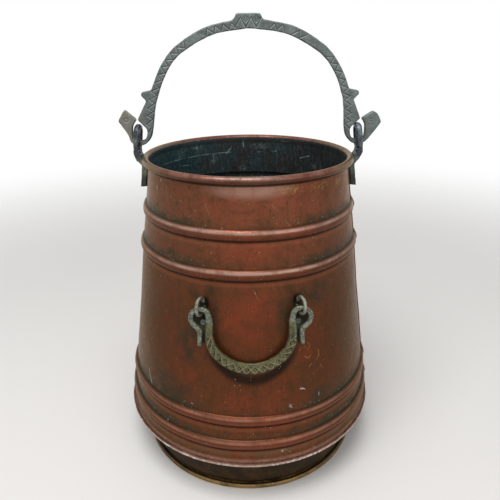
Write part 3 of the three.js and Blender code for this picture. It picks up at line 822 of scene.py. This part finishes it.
    def layer(self, tint, value, low, high, most):
        """Lays a colour over the look's own as the value goes from low to high."""
        self.paint(tint, self.step(value, low, high, 0, most))

    def surface(self, roughness, metallic, normal, **more):
        shader = self.add(
            "BsdfPrincipled", Base_Color=self.colour, Roughness=roughness, Metallic=metallic,
            Normal=normal, **more,
        )
        self.add("OutputMaterial", shader.outputs[0])
        return self.material


# Marks on the wall, as pixels of the photograph.
WHITE_SCRATCHES = [
    [(149, 368), (150, 375), (152, 383)], [(302, 388), (305, 389)], [(291, 405), (292, 408)],
    [(319, 392), (319, 395)], [(191, 403), (193, 404)],
]
FINE_SCRATCHES = [
    [(253, 290), (262, 306)], [(205, 203), (209, 215)], [(272, 205), (290, 226)], [(287, 268), (296, 264)],
    [(236, 262), (238, 272)], [(316, 371), (322, 363)], [(176, 232), (182, 226)],
]
GOLD_SCRATCHES = [
    [(299, 351), (302, 347), (306, 347)], [(308, 342), (310, 346), (308, 350)],
    [(304, 356), (308, 358), (311, 355)], [(318, 349), (319, 355), (316, 360)],
    [(320, 364), (322, 368)], [(312, 363), (309, 367)],
]
# Spots: pixel, half width and half height in millimetres.
PALE_DRIPS = [((157, 187), 1.0, 3.4), ((161, 180), 1.2, 2.2)]
PALE_SPOTS = [((283.5, 450.5), 4.2, 2.2), ((291, 405.5), 3, 3), ((302, 388), 3, 2.4)]
TURQUOISE = [((175, 426), 2.2, 2.6), ((168, 419), 1.4, 1.8)]
# Masks kept on the wall: stains and dark patches, painted highlights on the front, and painted shade with
# grime inside the drop handle's rings.
WALL_STAINS_AND_LIGHT = {
    "halo": [
        ((210, 297), 9, 17), ((289, 300), 11, 21), ((196, 296), 7, 8),
        ((304, 290), 8, 7), ((171, 252), 8, 6), ((190, 345), 24, 30),
        ((170, 385), 34, 22), ((283, 318), 9, 27), ((214, 318), 9, 25),
        ((318, 292), 22, 16), ((322, 390), 18, 10),
    ],
    "hollow": [
        ((200, 317), 11, 13), ((204, 303), 7, 8), ((300, 313), 11, 13),
        ((298, 299), 7, 8), ((300, 334), 4.5, 12), ((203, 335), 4.5, 12),
        ((305, 320), 7, 10), ((195, 321), 7, 11),
    ],
    "green": [((203, 327), 6, 7), ((298, 324), 6, 7)],
    "olive": [
        ((154, 174), 5, 5), ((292, 190), 18, 4), ((320, 186), 15, 4.4),
        ((338, 181), 9, 5), ((350, 214), 4, 12), ((346, 200), 6, 8),
    ],
    "blister": [((172, 198), 8, 8), ((312, 238), 8, 11), ((160, 380), 14, 8)],
    "reddish_highlight": [((247, 318), 34, 44), ((250, 252), 44, 12)],
    "pale_front_highlight": [((250, 190), 50, 11)],
}
BOW_MIDDLE = (252, 331)
BOW_OVAL = 0.88  # the camera looks down on the bow, which hides less of the wall below it
# Bands along each bead: lowest and highest offset from its middle, and softness, in millimetres.
BEAD_BANDS = {
    "seam": (4.2, 5.6, 0.7), "crest": (1.2, 3.6, 0.8), "belly": (-4.4, -0.6, 1.0),
    "shade_and_grime": (-7.0, -4.9, 0.8), "glow": (-11, -8, 1.4),
}


def copper_outside():
    look = Look("patinated copper")
    clouds = look.noise(60, 3, 0.55)
    patches = look.noise(14, 5, 0.68)
    drips = look.noise(11, 4, 0.6, at=look.stretched(1, 1, 0.45))
    brushed = look.noise(1.5, 3, 0.6, at=look.stretched(1, 1, 0.06))
    mottle = look.noise(4.5, 6, 0.74)
    sideways = look.sideways()
    front = look.step(look.y, -20 * MM, -60 * MM)
    # Bare copper, with painted shade that darkens it towards the sides.
    look.colour = look.mix(look.step(clouds, 0.38, 0.62), (90, 49, 26), (112, 53, 31))
    look.layer((62, 38, 18), sideways, 34 * MM, 104 * MM, 0.85)
    look.layer((140, 88, 68), look.z, 170 * MM, 300 * MM, 0.3)
    look.layer((96, 60, 34), look.z, 150 * MM, 60 * MM, 0.35)
    look.layer((58, 38, 20), drips, 0.46, 0.72, 0.3)
    look.layer((66, 46, 28), patches, 0.48, 0.68, 0.45)
    look.layer((56, 40, 22), mottle, 0.48, 0.7, 0.5)
    look.layer((150, 98, 66), brushed, 0.5, 0.8, 0.12)
    # Painted highlight: a broad reddish sheen on the front of the wall.
    look.paint((140, 62, 40), look.mark("reddish_highlight"), 0.18)
    # Painted highlight: a pale pinkish patch on the front, just under the rim.
    look.paint((160, 122, 106), look.mark("pale_front_highlight"), look.step(patches, 0.3, 0.6, 0.45, 0.85))
    # Beads: verdigris and a dark seam above, a painted highlight on the crest, a reddish belly, painted
    # shade with grime below, and a faint painted glow further down.
    offs = [look.minus(look.z, bead) for bead in BEADS]
    haze = look.plus(*[
        look.times(look.step(off, 4.2 * MM, 5.4 * MM), look.step(off, 17 * MM, 5.6 * MM)) for off in offs
    ])
    seam, crest, belly, shade_and_grime, glow = [
        look.plus(*[look.band(off, low * MM, high * MM, soft * MM) for off in offs])
        for low, high, soft in BEAD_BANDS.values()
    ]
    to_side = look.step(sideways, 22 * MM, 70 * MM, 0.3, 1.0)
    highlight_break_up = look.step(look.noise(16, 4, 0.6), 0.3, 0.6, 0.4, 1.0)
    verdigris = look.times(haze, to_side, look.step(patches, 0.34, 0.56, 0.2, 1.0))
    look.paint((46, 46, 32), verdigris, 0.9)
    look.paint((36, 34, 24), seam, to_side, 0.6)
    # Painted glow in a band below each bead.
    look.paint((150, 84, 56), glow, 0.25)
    low_down = look.step(look.z, 150 * MM, 90 * MM)
    look.paint(look.mix(low_down, (94, 44, 30), (126, 66, 52)), belly, 0.5)
    fainter_below = look.step(look.z, 90 * MM, 220 * MM, 0.5, 0.6)
    crest_highlight_share = look.times(fainter_below, look.step(sideways, 110 * MM, 50 * MM, 0.5, 1.0))
    # Painted highlight on the upper flank of each bead, fainter low down and to the sides.
    look.paint(look.mix(low_down, (188, 156, 144), (176, 124, 108)), crest, highlight_break_up, crest_highlight_share)
    # Dark patches, and the painted shadow under the bow.
    halo = look.times(look.mark("halo"), look.step(patches, 0.34, 0.58, 0.3, 1.0))
    look.paint((46, 40, 26), halo, 0.8)
    # Painted shadow under the bow.
    shade = look.mark("shade")
    look.paint((16, 9, 5), shade, look.step(mottle, 0.3, 0.6, 1.0, 0.86))
    # Foot of the wall with a painted highlight on its flare, and painted shade with grime under beads and
    # rim.
    flare = look.rise(SEAM_TOP, 4.2, 1.6)
    hollow = look.band(look.z, SEAM_TOP + 5 * MM, SEAM_TOP + 12 * MM, 2 * MM)
    look.paint((96, 84, 62), hollow, look.step(patches, 0.4, 0.58), 0.4)
    # Painted highlight on the concave flare at the foot of the wall.
    look.paint((152, 118, 102), flare, look.step(mottle, 0.3, 0.6, 0.75, 0.35))
    under_rim = look.band(look.z, RIM_Z - 2.6 * MM, RIM_Z + 1.0 * MM, 0.8 * MM)
    shade_and_dirt = look.times(look.boost(look.plus(shade_and_grime, under_rim), 1), 0.88)
    # Painted shade, with some grime: near-black lines under the beads and the rim.
    look.paint((26, 13, 4), shade_and_dirt)
    # Rolled rim, with painted shade on the lower half of the roll and a painted highlight along its top at
    # the front.
    rim = look.rise(RIM_Z, 0.8, 1.8)
    roll = look.mix(look.step(patches, 0.36, 0.62), (128, 86, 76), (98, 60, 48))
    # Painted shade: the lower half of the roll is darker.
    low_half = look.step(look.z, RIM_Z + ROLL_OUT + 1.4 * MM, RIM_Z + ROLL_OUT - 0.6 * MM)
    roll = look.mix(look.times(low_half, 0.75), roll, (74, 48, 32))
    roll = look.mix(look.step(sideways, 66 * MM, 98 * MM, 0, 0.9), roll, (104, 92, 72))
    roll = look.mix(look.step(mottle, 0.48, 0.7, 0, 0.6), roll, (84, 54, 40))
    # Painted highlight along the top of the roll, at the front.
    near_top = look.rise(RIM_TOP, -3.4, -1.4)
    gleam = look.times(look.step(sideways, 44 * MM, 8 * MM), front, near_top)
    roll = look.mix(look.times(gleam, look.step(mottle, 0.3, 0.6, 0.45, 0.2)), roll, (150, 140, 130))
    look.paint(roll, rim)
    # Small spots, specks and scratches.
    broken = look.step(look.noise(2.2, 4, 0.7), 0.5, 0.6)
    look.paint((158, 132, 62), look.mark("olive"), broken, 0.75)
    look.paint((196, 158, 140), look.stains(*PALE_DRIPS), 0.6)
    look.paint((214, 196, 190), look.stains(*PALE_SPOTS), broken, 0.75)
    look.paint((96, 170, 176), look.stains(*TURQUOISE), broken)
    fizz = look.times(look.most(look.mark("blister"), verdigris), look.specks(2.4, 0.3, 0.5))
    look.paint((160, 160, 142), fizz, 0.6)
    look.paint((36, 24, 14), look.specks(3.1, 0.2, 0.3), 0.65)
    look.paint((186, 152, 124), look.most(look.specks(2.7, 0.16, 0.2), look.specks(4.7, 0.13, 0.3)), 0.55)
    gold = look.scratches(GOLD_SCRATCHES, 0.36)
    white = look.scratches(WHITE_SCRATCHES, 0.5)
    look.paint((160, 116, 88), look.scratches(FINE_SCRATCHES, 0.34), 0.5)
    look.paint((176, 132, 66), gold, look.step(mottle, 0.4, 0.54, 0.3, 0.85))
    look.paint((206, 198, 190), white, look.step(mottle, 0.36, 0.5, 0.4, 0.9))
    # Painted shade, with some grime: near-black on the wall inside the drop handle's rings, and green
    # spots below them.
    ring_shade_and_grime = look.boost(look.mark("hollow"), 1.8)
    look.paint((12, 12, 8), ring_shade_and_grime, 0.96)
    look.paint((60, 66, 44), look.mark("green"), 0.85)
    # Finish, dull under the dark patches, verdigris, white scratches, the painted shade with grime, and
    # the painted shadow.
    dull = look.most(halo, verdigris, white, shade_and_dirt, ring_shade_and_grime, look.times(shade, 0.6))
    rough = look.plus(look.step(mottle, 0.3, 0.8, 0.32, 0.5), look.times(dull, 0.25))
    metallic = look.boost(look.minus(look.step(clouds, 0.3, 0.7, 0.5, 0.7), look.times(dull, 0.45)), 1)
    relief = look.plus(look.times(brushed, 0.15), look.plus(mottle, look.times(patches, 1.2)))
    normal = look.bump(relief, 0.12)
    return look.surface(
        rough, metallic, normal, Specular_IOR_Level=0.15, Specular_Tint=srgb(240, 214, 184),
        Coat_Weight=0.25, Coat_Roughness=0.2, Coat_IOR=1.25,
    )


# Marks on the far inside of the wall, as pixels of the photograph.
INSIDE_SCRATCHES = [
    [(165, 164), (178, 160), (192, 157), (206, 154.5), (219, 153), (231, 152)], [(214, 155), (213, 163)],
    [(226, 154), (231, 148)], [(258, 152), (276, 151)], [(196, 144), (197, 150)], [(300, 158), (309, 156)],
    [(243, 140), (243.5, 147)], [(281, 141), (290, 142)], [(183, 166), (189, 165)],
]
INSIDE_SMUDGES = [
    ((180, 155), 12, 7), ((243, 168), 7, 6), ((214, 158), 6, 12),
    ((196, 148), 9, 12), ((314, 166), 8, 6), ((260, 146), 16, 6),
]


def copper_inside():
    look = Look("dark verdigris inside")
    clouds = look.noise(26, 5, 0.65)
    streaks = look.noise(2.6, 4, 0.65, at=look.stretched(1, 1, 0.16))
    grain = look.noise(3, 6, 0.74)
    left = look.step(look.x, -15 * MM, -85 * MM)
    right = look.step(look.x, 30 * MM, 95 * MM)
    look.colour = look.mix(look.step(clouds, 0.4, 0.62), (56, 52, 50), (50, 62, 64))
    look.paint((40, 70, 76), left, look.step(clouds, 0.3, 0.6))
    look.paint((88, 118, 118), look.step(grain, 0.48, 0.66), look.step(left, 0, 1, 0.35, 0.8))
    look.paint((28, 32, 34), right, 0.5)
    look.layer((100, 110, 108), streaks, 0.52, 0.76, 0.5)
    look.layer((18, 22, 24), look.noise(1.6, 4, 0.7), 0.55, 0.75, 0.5)
    dots = look.most(look.specks(4, 0.2, 0.3), look.specks(2.3, 0.25, 0.16))
    look.paint((142, 162, 160), dots, 0.55)
    smudge = look.times(look.mark("smudge"), look.step(grain, 0.42, 0.6))
    look.paint((124, 146, 144), smudge, 0.55)
    scratches = look.scratches(INSIDE_SCRATCHES, 0.8, inside=True)
    look.paint((166, 184, 182), scratches, look.step(grain, 0.4, 0.56, 0.25, 1.0), 0.85)
    look.paint((116, 84, 68), look.rise(RIM_TOP, -2.6, -1.2), 0.85)
    # Painted shade: a dark band inside, just under the rolled rim.
    look.paint((24, 24, 24), look.band(look.z, RIM_Z - 2 * MM, RIM_Z + 3 * MM, 1.4 * MM), 0.7)
    look.paint((70, 50, 40), look.step(look.z, FLOOR_Z + 60 * MM, FLOOR_Z), 0.4)
    normal = look.bump(look.plus(clouds, streaks), 0.25)
    return look.surface(look.step(streaks, 0.3, 0.8, 0.42, 0.7), 0.3, normal)


def copper_foot():
    look = Look("dark foot copper")
    clouds = look.noise(18, 5, 0.62)
    grain = look.noise(3, 5, 0.7)
    look.colour = look.mix(look.step(clouds, 0.42, 0.68), (38, 24, 5), (70, 47, 16))
    look.layer((24, 17, 9), grain, 0.5, 0.75, 0.5)
    edge = look.step(look.z, 2 * FOOT_ROLL_OUT + 0.6 * MM, 2 * FOOT_ROLL_OUT - 1.4 * MM)
    worn = look.times(look.step(look.sideways(), 95 * MM, 20 * MM), look.step(look.y, -60 * MM, -100 * MM))
    olive = look.mix(look.step(look.noise(9, 4, 0.55), 0.4, 0.7), (92, 70, 34), (126, 98, 50))
    olive = look.mix(look.times(worn, look.step(clouds, 0.35, 0.6), 0.8), olive, (166, 132, 78))
    olive = look.mix(look.step(grain, 0.5, 0.72, 0, 0.7), olive, (56, 42, 24))
    look.paint(olive, edge)
    # Painted shadow: a near-black line along the top of the roll, under the step.
    line = look.band(look.z, 2 * FOOT_ROLL_OUT - 0.4 * MM, 2 * FOOT_ROLL_OUT + 1.4 * MM, 0.5 * MM)
    look.paint((16, 12, 8), line)
    normal = look.bump(look.plus(clouds, look.times(grain, 0.5)), 0.4)
    return look.surface(look.step(clouds, 0.3, 0.7, 0.4, 0.6), 0.5, normal, Specular_IOR_Level=0.3)


def floor_copper():
    """Sooty floor, and its pinkish folded edge with white chips along the bottom."""
    look = Look("worn copper hem")
    clouds = look.noise(20, 5, 0.65)
    chips = look.noise(4.2, 5, 0.72)
    look.colour = look.mix(look.step(clouds, 0.4, 0.65), (108, 72, 56), (150, 104, 88))
    look.layer((84, 56, 40), look.noise(6, 4, 0.7), 0.5, 0.66, 0.75)
    reach = look.from_axis()
    sooty = look.mix(look.step(chips, 0.4, 0.64), (38, 36, 35), (72, 58, 48))
    sooty = look.mix(look.step(clouds, 0.45, 0.65, 0, 0.6), sooty, (50, 62, 62))
    look.paint(sooty, look.step(reach, SEAM_R - 2.4 * MM, SEAM_R - 3.4 * MM))
    outer = look.step(reach, SEAM_R - 1.2 * MM, SEAM_R - 0.6 * MM)
    low = look.rise(SEAM_TOP, -0.9, -1.5)
    look.paint((196, 172, 156), outer, low, 0.55)
    stretch = look.step(look.noise(26, 2, 0.5), 0.42, 0.56, 0.25, 1.0)
    look.paint((226, 220, 210), outer, low, stretch, look.step(chips, 0.46, 0.56))
    gap = look.rise(SEAM_TOP, -0.5, -0.1)
    look.paint((60, 38, 28), gap, look.step(chips, 0.3, 0.6, 0.9, 0.4))
    normal = look.bump(look.plus(clouds, chips), 0.3)
    return look.surface(look.step(clouds, 0.3, 0.7, 0.35, 0.55), 0.5, normal)


def aged_metal(name, base, shade, light, metallic, roughness):
    """Iron or brass with cloudy tarnish and small pits. Its finish goes to surface()."""
    look = Look(name)
    clouds = look.noise(9, 5, 0.65)
    fine = look.noise(1.3, 3, 0.6)
    look.colour = look.mix(look.step(clouds, 0.38, 0.66), shade, base)
    look.layer(light, fine, 0.5, 0.75, 0.7)
    look.paint(shade, look.specks(1.7, 0.3, 0.25), 0.5)
    rough = look.step(fine, 0.3, 0.75, roughness - 0.08, roughness + 0.1)
    look.finish = rough, metallic, look.bump(look.plus(fine, look.times(clouds, 2.0)), 0.22)
    return look


def plain_metal(*values):
    look = aged_metal(*values)
    return look.surface(*look.finish)


def engraved_metal(*values, groove, burr_light_and_shade, burr_light_share, shade_and_grime, stain):
    """Burrs stand on the lower side of each groove and carry painted light in the colour given for them,
    which the dark strokes take too; painted shade lies on the undersides.
    """
    look = aged_metal(*values)
    stain(look)
    # Painted shade on the undersides.
    look.paint(shade_and_grime, look.mark("under"), 0.75)
    # Painted light on the burr below each groove: pale on the bail, dark on the handle.
    look.paint(burr_light_and_shade, look.mark("lip"), burr_light_share)
    look.paint(burr_light_and_shade, look.boost(look.mark("dark"), 1.7))
    look.paint(groove, look.boost(look.mark("cut"), 0.85))
    return look.surface(*look.finish)


def brown_leaf(look):
    """The bail's left leaf is browner than the rest."""
    leaf = look.times(look.step(look.x, -100 * MM, -112 * MM), look.noise(6, 4, 0.6))
    look.paint((122, 118, 106), look.boost(leaf, 1.5))


def pale_rings(look):
    """The rings and tails of the drop handle are grey-green, where its bow is olive."""
    ring = look.step(look.z, HANDLE_AXIS.z - 17 * MM, HANDLE_AXIS.z - 9 * MM)
    tail = look.step(look.sideways(), 40 * MM, 42.5 * MM)
    grain = look.step(look.noise(2.6, 5, 0.7), 0.42, 0.62)
    look.paint(look.mix(grain, (78, 86, 74), (136, 140, 124)), look.most(ring, tail), 0.85)


def staple_metal():
    """Grey-green wire, painted near-black where it goes into the wall, as painted shade and soiling."""
    look = aged_metal("grey-green staple", (146, 148, 130), (84, 86, 72), (190, 190, 172), 0.6, 0.45)
    proud = look.minus(look.plus(look.from_axis(), look.times(look.z, TAPER)), wall_radius(0))
    # Painted shade, with some grime, near the wall.
    look.layer((18, 20, 15), proud, 4.5 * MM, 2.2 * MM, 0.92)
    return look.surface(*look.finish)


def ear_metal():
    """Blue-black iron, paler on the eye, and grey-green on the strap, which is painted lighter on the left
    ear and darker on the right as painted light and shade.
    """
    look = aged_metal("blue-black iron", (96, 104, 111), (46, 51, 57), (140, 147, 152), 0.6, 0.42)
    grain = look.step(look.noise(3, 5, 0.68), 0.3, 0.55, 0.45, 1.0)
    strap = look.rise(RIM_Z, 5, -4)
    # Painted light and shade: the left strap paler, the right one darker.
    lit = look.mix(look.step(look.x, -10 * MM, 10 * MM), (104, 110, 94), (74, 82, 76))
    look.paint(lit, strap, grain)
    look.layer((44, 44, 42), look.z, RIM_Z - 12 * MM, RIM_Z - 18 * MM, 0.85)
    look.paint((34, 37, 42), look.band(look.z, RIM_Z + 2 * MM, RIM_TOP + 5 * MM, 3 * MM), 0.5)
    return look.surface(*look.finish)


# ---- ornament
ZIGZAG_PITCH = 7.8 * MM
ZIGZAG_MARGIN = 1.1 * MM
ZIGZAG_REACH = 8.2 * MM  # furthest from the bail's inner edge
HATCH_PITCH = 7.2 * MM
HATCH_BORDER = 2.3 * MM
HATCH_MARGIN = 0.7 * MM


def bow_edges(outline, centre, angle, reach=math.inf):
    """Inner and outer edge of the bail or handle in that direction. The outer one is no
    further than the reach from the inner."""
    found = crossings(outline, centre, angle)
    return found[0], min(found[1], found[0] + reach)


def zigzag(outline, centre, start, end, worn, rng):
    """Strokes to and fro between the edges of the bail, from one angle to the other and
    fainter along its worn stretches."""
    strokes = []
    angle, end = math.radians(start), math.radians(end)
    direction = 1 if end > angle else -1
    low, last = True, None
    while (end - angle) * direction > 0:
        inner, outer = bow_edges(outline, centre, angle, ZIGZAG_REACH)
        reach = inner + ZIGZAG_MARGIN if low else outer - ZIGZAG_MARGIN
        point = polar(centre, angle, reach + rng.normal() * 0.15 * MM)
        strength = 1.0
        for first, second, faint in worn:
            if first <= math.degrees(angle) <= second:
                strength = faint
        if last is not None:
            strokes.append((last, point, strength * rng.uniform(0.75, 1.0)))
        last, low = point, not low
        angle += direction * ZIGZAG_PITCH / 2 / ((inner + outer) / 2) * rng.uniform(0.92, 1.08)
    return strokes


def bail_strokes(outline):
    """Zigzag down both arms, and two diamonds in another zigzag on the crest."""
    rng = np.random.default_rng(31)
    centre = (3 * MM, 40 * MM)
    strokes = zigzag(outline, centre, 75, -17, [(55, 61, 0.25), (28, 46, 0.15)], rng)
    strokes += zigzag(outline, centre, 100, 197, [(124, 139, 0.12)], rng)
    crest = BAIL_RISE - 12.8 * MM, BAIL_RISE - 3.6 * MM
    places = [-11.3, -5.6, -0.8, 4.3, 9.3, 14.2]
    strokes += joined([np.array([x * MM, crest[i % 2]]) for i, x in enumerate(places)], 1.0)
    corners = [(-2.9, 0), (0, 3), (2.9, 0), (0, -3.2), (-2.9, 0)]
    for x in (-0.8, 9.3):
        middle = np.array([x * MM, BAIL_RISE - 4.9 * MM])
        strokes += joined([middle + np.array(corner) * MM for corner in corners], 0.8)
        strokes += circle(middle, 1.1 * MM, 0.9)
    return strokes + circle(LEFT_PUNCH, 2.0 * MM, 0.8) + circle(RIGHT_PUNCH, 1.5 * MM, 0.6)


def handle_strokes(outline):
    """Crossed strokes and dark hatching along the bow, inside a plain border. On the arms
    one of each two crossed strokes is dark as well."""
    rng = np.random.default_rng(47)
    centre = (0, -14 * MM)
    strokes = []
    angle = math.radians(196)
    while angle < math.radians(344):
        inner, outer = bow_edges(outline, centre, angle)
        turn = HATCH_PITCH / ((inner + outer) / 2)
        next_inner, next_outer = bow_edges(outline, centre, angle + turn)
        low = polar(centre, angle, inner + HATCH_BORDER)
        high = polar(centre, angle, outer - HATCH_MARGIN)
        next_low = polar(centre, angle + turn, next_inner + HATCH_BORDER)
        next_high = polar(centre, angle + turn, next_outer - HATCH_MARGIN)
        strokes.append((low, next_high, rng.uniform(0.5, 1.0)))
        on_arm = abs(math.degrees(angle) - 270) > 36
        strokes.append((high, next_low, rng.uniform(0.5, 1.0) * (-1 if on_arm else 1)))
        hatch = angle + turn * rng.uniform(0.35, 0.5)
        strokes.append((low, polar(centre, hatch, outer - HATCH_MARGIN), -0.9))
        angle += turn * rng.uniform(0.92, 1.08)
    line = []
    for angle in np.radians(np.arange(190, 351, 4)):
        inner = bow_edges(outline, centre, angle)[0]
        line.append(polar(centre, angle, inner + HATCH_BORDER * 0.8))
    return strokes + joined(line, 0.35)


# ---- assembly
def build_sheet_pieces():
    wall = dress(body_wall(), copper_outside(), "bucket", "copper", "body_shell")
    paint_wall_stains_and_light(wall)
    mark_inside(wall, copper_inside())
    dress(floor_pan(), floor_copper(), "bucket", "copper", "floor_pan")
    dress(foot_ring(), copper_foot(), "bucket", "foot_copper", "foot_ring")
    wire = plain_metal("iron wire", (64, 58, 54), (40, 34, 30), (104, 96, 88), 0.7, 0.5)
    for node, middle_z in (("rim_wire", RIM_Z + ROLL_OUT), ("foot_wire", FOOT_ROLL_Z)):
        ring = turned_section(f"{node}_fine", wire_section(node, middle_z), TURNS // 2)
        dress(ring, wire, "bucket", "iron_wire", node)


def build_forged_pieces():
    rivet = plain_metal("tarnished rivet", (92, 84, 72), (52, 46, 40), (130, 122, 108), 0.7, 0.45)
    stud = plain_metal("verdigris stud", (120, 132, 118), (58, 66, 58), (170, 180, 168), 0.4, 0.5)
    # Node, look, slot, voxel, rounds of wear, then size, depth and seed of the hammering.
    # Lengths are in millimetres.
    rows = [
        ("ear_{}", ear_metal(), "ear_iron", 0.35, 7, 6, 0.12, 51),
        ("handle_staple_{}", staple_metal(), "handle_brass", 0.25, 4, 4, 0.05, 55),
        ("handle_stud_{}", stud, "rivet_copper", 0.25, 3, 3, 0.03, 57),
    ]
    for small in ("staple_washer_{}", "ear_rivet_{}_upper", "ear_rivet_{}_lower", "ear_washer_{}_upper",
                  "ear_washer_{}_lower"):
        rows.append((small, rivet, "rivet_copper", 0.25, 3, 3, 0.03, 59))
    for side in ("left", "right"):
        for name, look, slot, voxel, rounds, size, depth, seed in rows:
            node = name.format(side)
            piece = forged(node, voxel * MM, rounds, size * MM, depth * MM, seed)
            dress(piece, look, "bucket", slot, node)


def build_bar(node, joint, name, slot, look, strokes, spacing, corner, voxel, hammering, groove):
    """Fine copy of a flat bar, hammered and engraved. Lengths are in millimetres; hammering
    is its size, depth and seed, and groove its width and depth."""
    bar = FlatBar(node, joint)
    mesh, outline = bar_mesh(bar, spacing * MM, corner * MM)
    size, depth, seed = hammering
    piece = hammered(remeshed(name, mesh, voxel * MM, BAR_ROUNDS), size * MM, depth * MM, seed)
    engrave(piece, bar, strokes(outline), groove[0] * MM, groove[1] * MM)
    dress(piece, look, node, slot, node)


def build_bars():
    # Painted highlight on the bail's burrs and painted shade on the handle's; painted shade on both
    # undersides.
    iron = engraved_metal(
        "worn grey iron", (108, 115, 112), (84, 92, 90), (130, 137, 133), 0.6, 0.5,
        groove=(40, 44, 42), burr_light_and_shade=(170, 177, 172), burr_light_share=0.6, shade_and_grime=(38, 40, 38), stain=brown_leaf,
    )
    build_bar(
        "bail", "bail_swing", "bail_engraved", "bail_iron", iron, bail_strokes,
        spacing=0.7, corner=0.8, voxel=0.35, hammering=(8, 0.1, 61), groove=(0.42, 0.45),
    )
    brass = engraved_metal(
        "tarnished brass", (94, 89, 60), (64, 62, 40), (128, 122, 90), 0.6, 0.45,
        groove=(150, 140, 104), burr_light_and_shade=(26, 22, 12), burr_light_share=0.95, shade_and_grime=(52, 46, 32), stain=pale_rings,
    )
    build_bar(
        "front_handle", "front_handle_swing", "handle_engraved", "handle_brass", brass, handle_strokes,
        spacing=0.5, corner=0.5, voxel=0.25, hammering=(6, 0.07, 71), groove=(0.36, 0.35),
    )


# ---- stage, lamps and camera
STAGE_RADIUS = 2.2
STAGE_FADE = (0.45, 1.5)  # radii over which the pale floor fades out
WORLD_ON_OBJECT = 0.42  # strength of the white world as light, next to 1 as it is seen
LAMPS_AIM = Vector((0, 0, 0.2))
# Name, place, size and power.
LAMPS = [("overhead", (-0.2, -0.5, 1.35), 0.8, 13), ("front_fill", (0.9, -1.2, 0.8), 0.9, 3)]


def stage_floor():
    """Pale disc that fades into the white background."""
    bpy.ops.mesh.primitive_circle_add(vertices=96, radius=STAGE_RADIUS, fill_type="NGON")
    disc = bpy.context.active_object
    disc.name = "pale_floor"
    look = Look("pale floor")
    pale = look.add("BsdfPrincipled", Base_Color=srgb(238, 236, 233), Roughness=0.7)
    clear = look.add("BsdfTransparent")
    faded = look.step(look.vector("LENGTH", look.here, out=1), *STAGE_FADE)
    blend = look.add("MixShader", faded, pale.outputs[0], clear.outputs[0])
    look.add("OutputMaterial", blend.outputs[0])
    disc.data.materials.append(look.material)


def white_world():
    """Even light for the object, and plain white where the camera or a gloss looks past it."""
    world = Look("studio", bpy.data.worlds)
    bpy.context.scene.world = world.material
    rays = world.add("LightPath").outputs
    seen = world.most(*[rays[f"Is {kind} Ray"] for kind in ("Camera", "Transmission", "Glossy")])
    strength = world.add("MapRange", seen, 0, 1, WORLD_ON_OBJECT, 1)
    white = world.add("Background", (1, 1, 1, 1), strength.outputs[0])
    world.add("OutputWorld", white.outputs[0])


def lamp(name, place, size, power):
    light = bpy.data.lights.new(name, "AREA")
    light.size = size
    light.energy = power
    holder = new_object(name, light)
    holder.location = place
    holder.rotation_euler = (LAMPS_AIM - Vector(place)).to_track_quat("-Z", "Y").to_euler()


def photograph_camera():
    data = bpy.data.cameras.new("camera")
    data.sensor_width = SENSOR
    data.lens = SENSOR * FOCAL / FRAME_SIDE
    data.shift_x = 0.5 - AXIS_AT[0] / FRAME_SIDE
    data.shift_y = AXIS_AT[1] / FRAME_SIDE - 0.5
    data.clip_start = 0.01
    camera = new_object("camera", data)
    turn = Matrix.Rotation(math.pi / 2 - PITCH_DOWN, 4, "X") @ Matrix.Rotation(ROLL, 4, "Z")
    camera.matrix_world = Matrix.Translation(CAMERA_AT) @ turn
    bpy.context.scene.camera = camera


photograph_camera()
white_world()
for row in LAMPS:
    lamp(*row)
stage_floor()
build_sheet_pieces()
build_forged_pieces()
build_bars()
bpy.context.scene.view_settings.view_transform = "Standard"
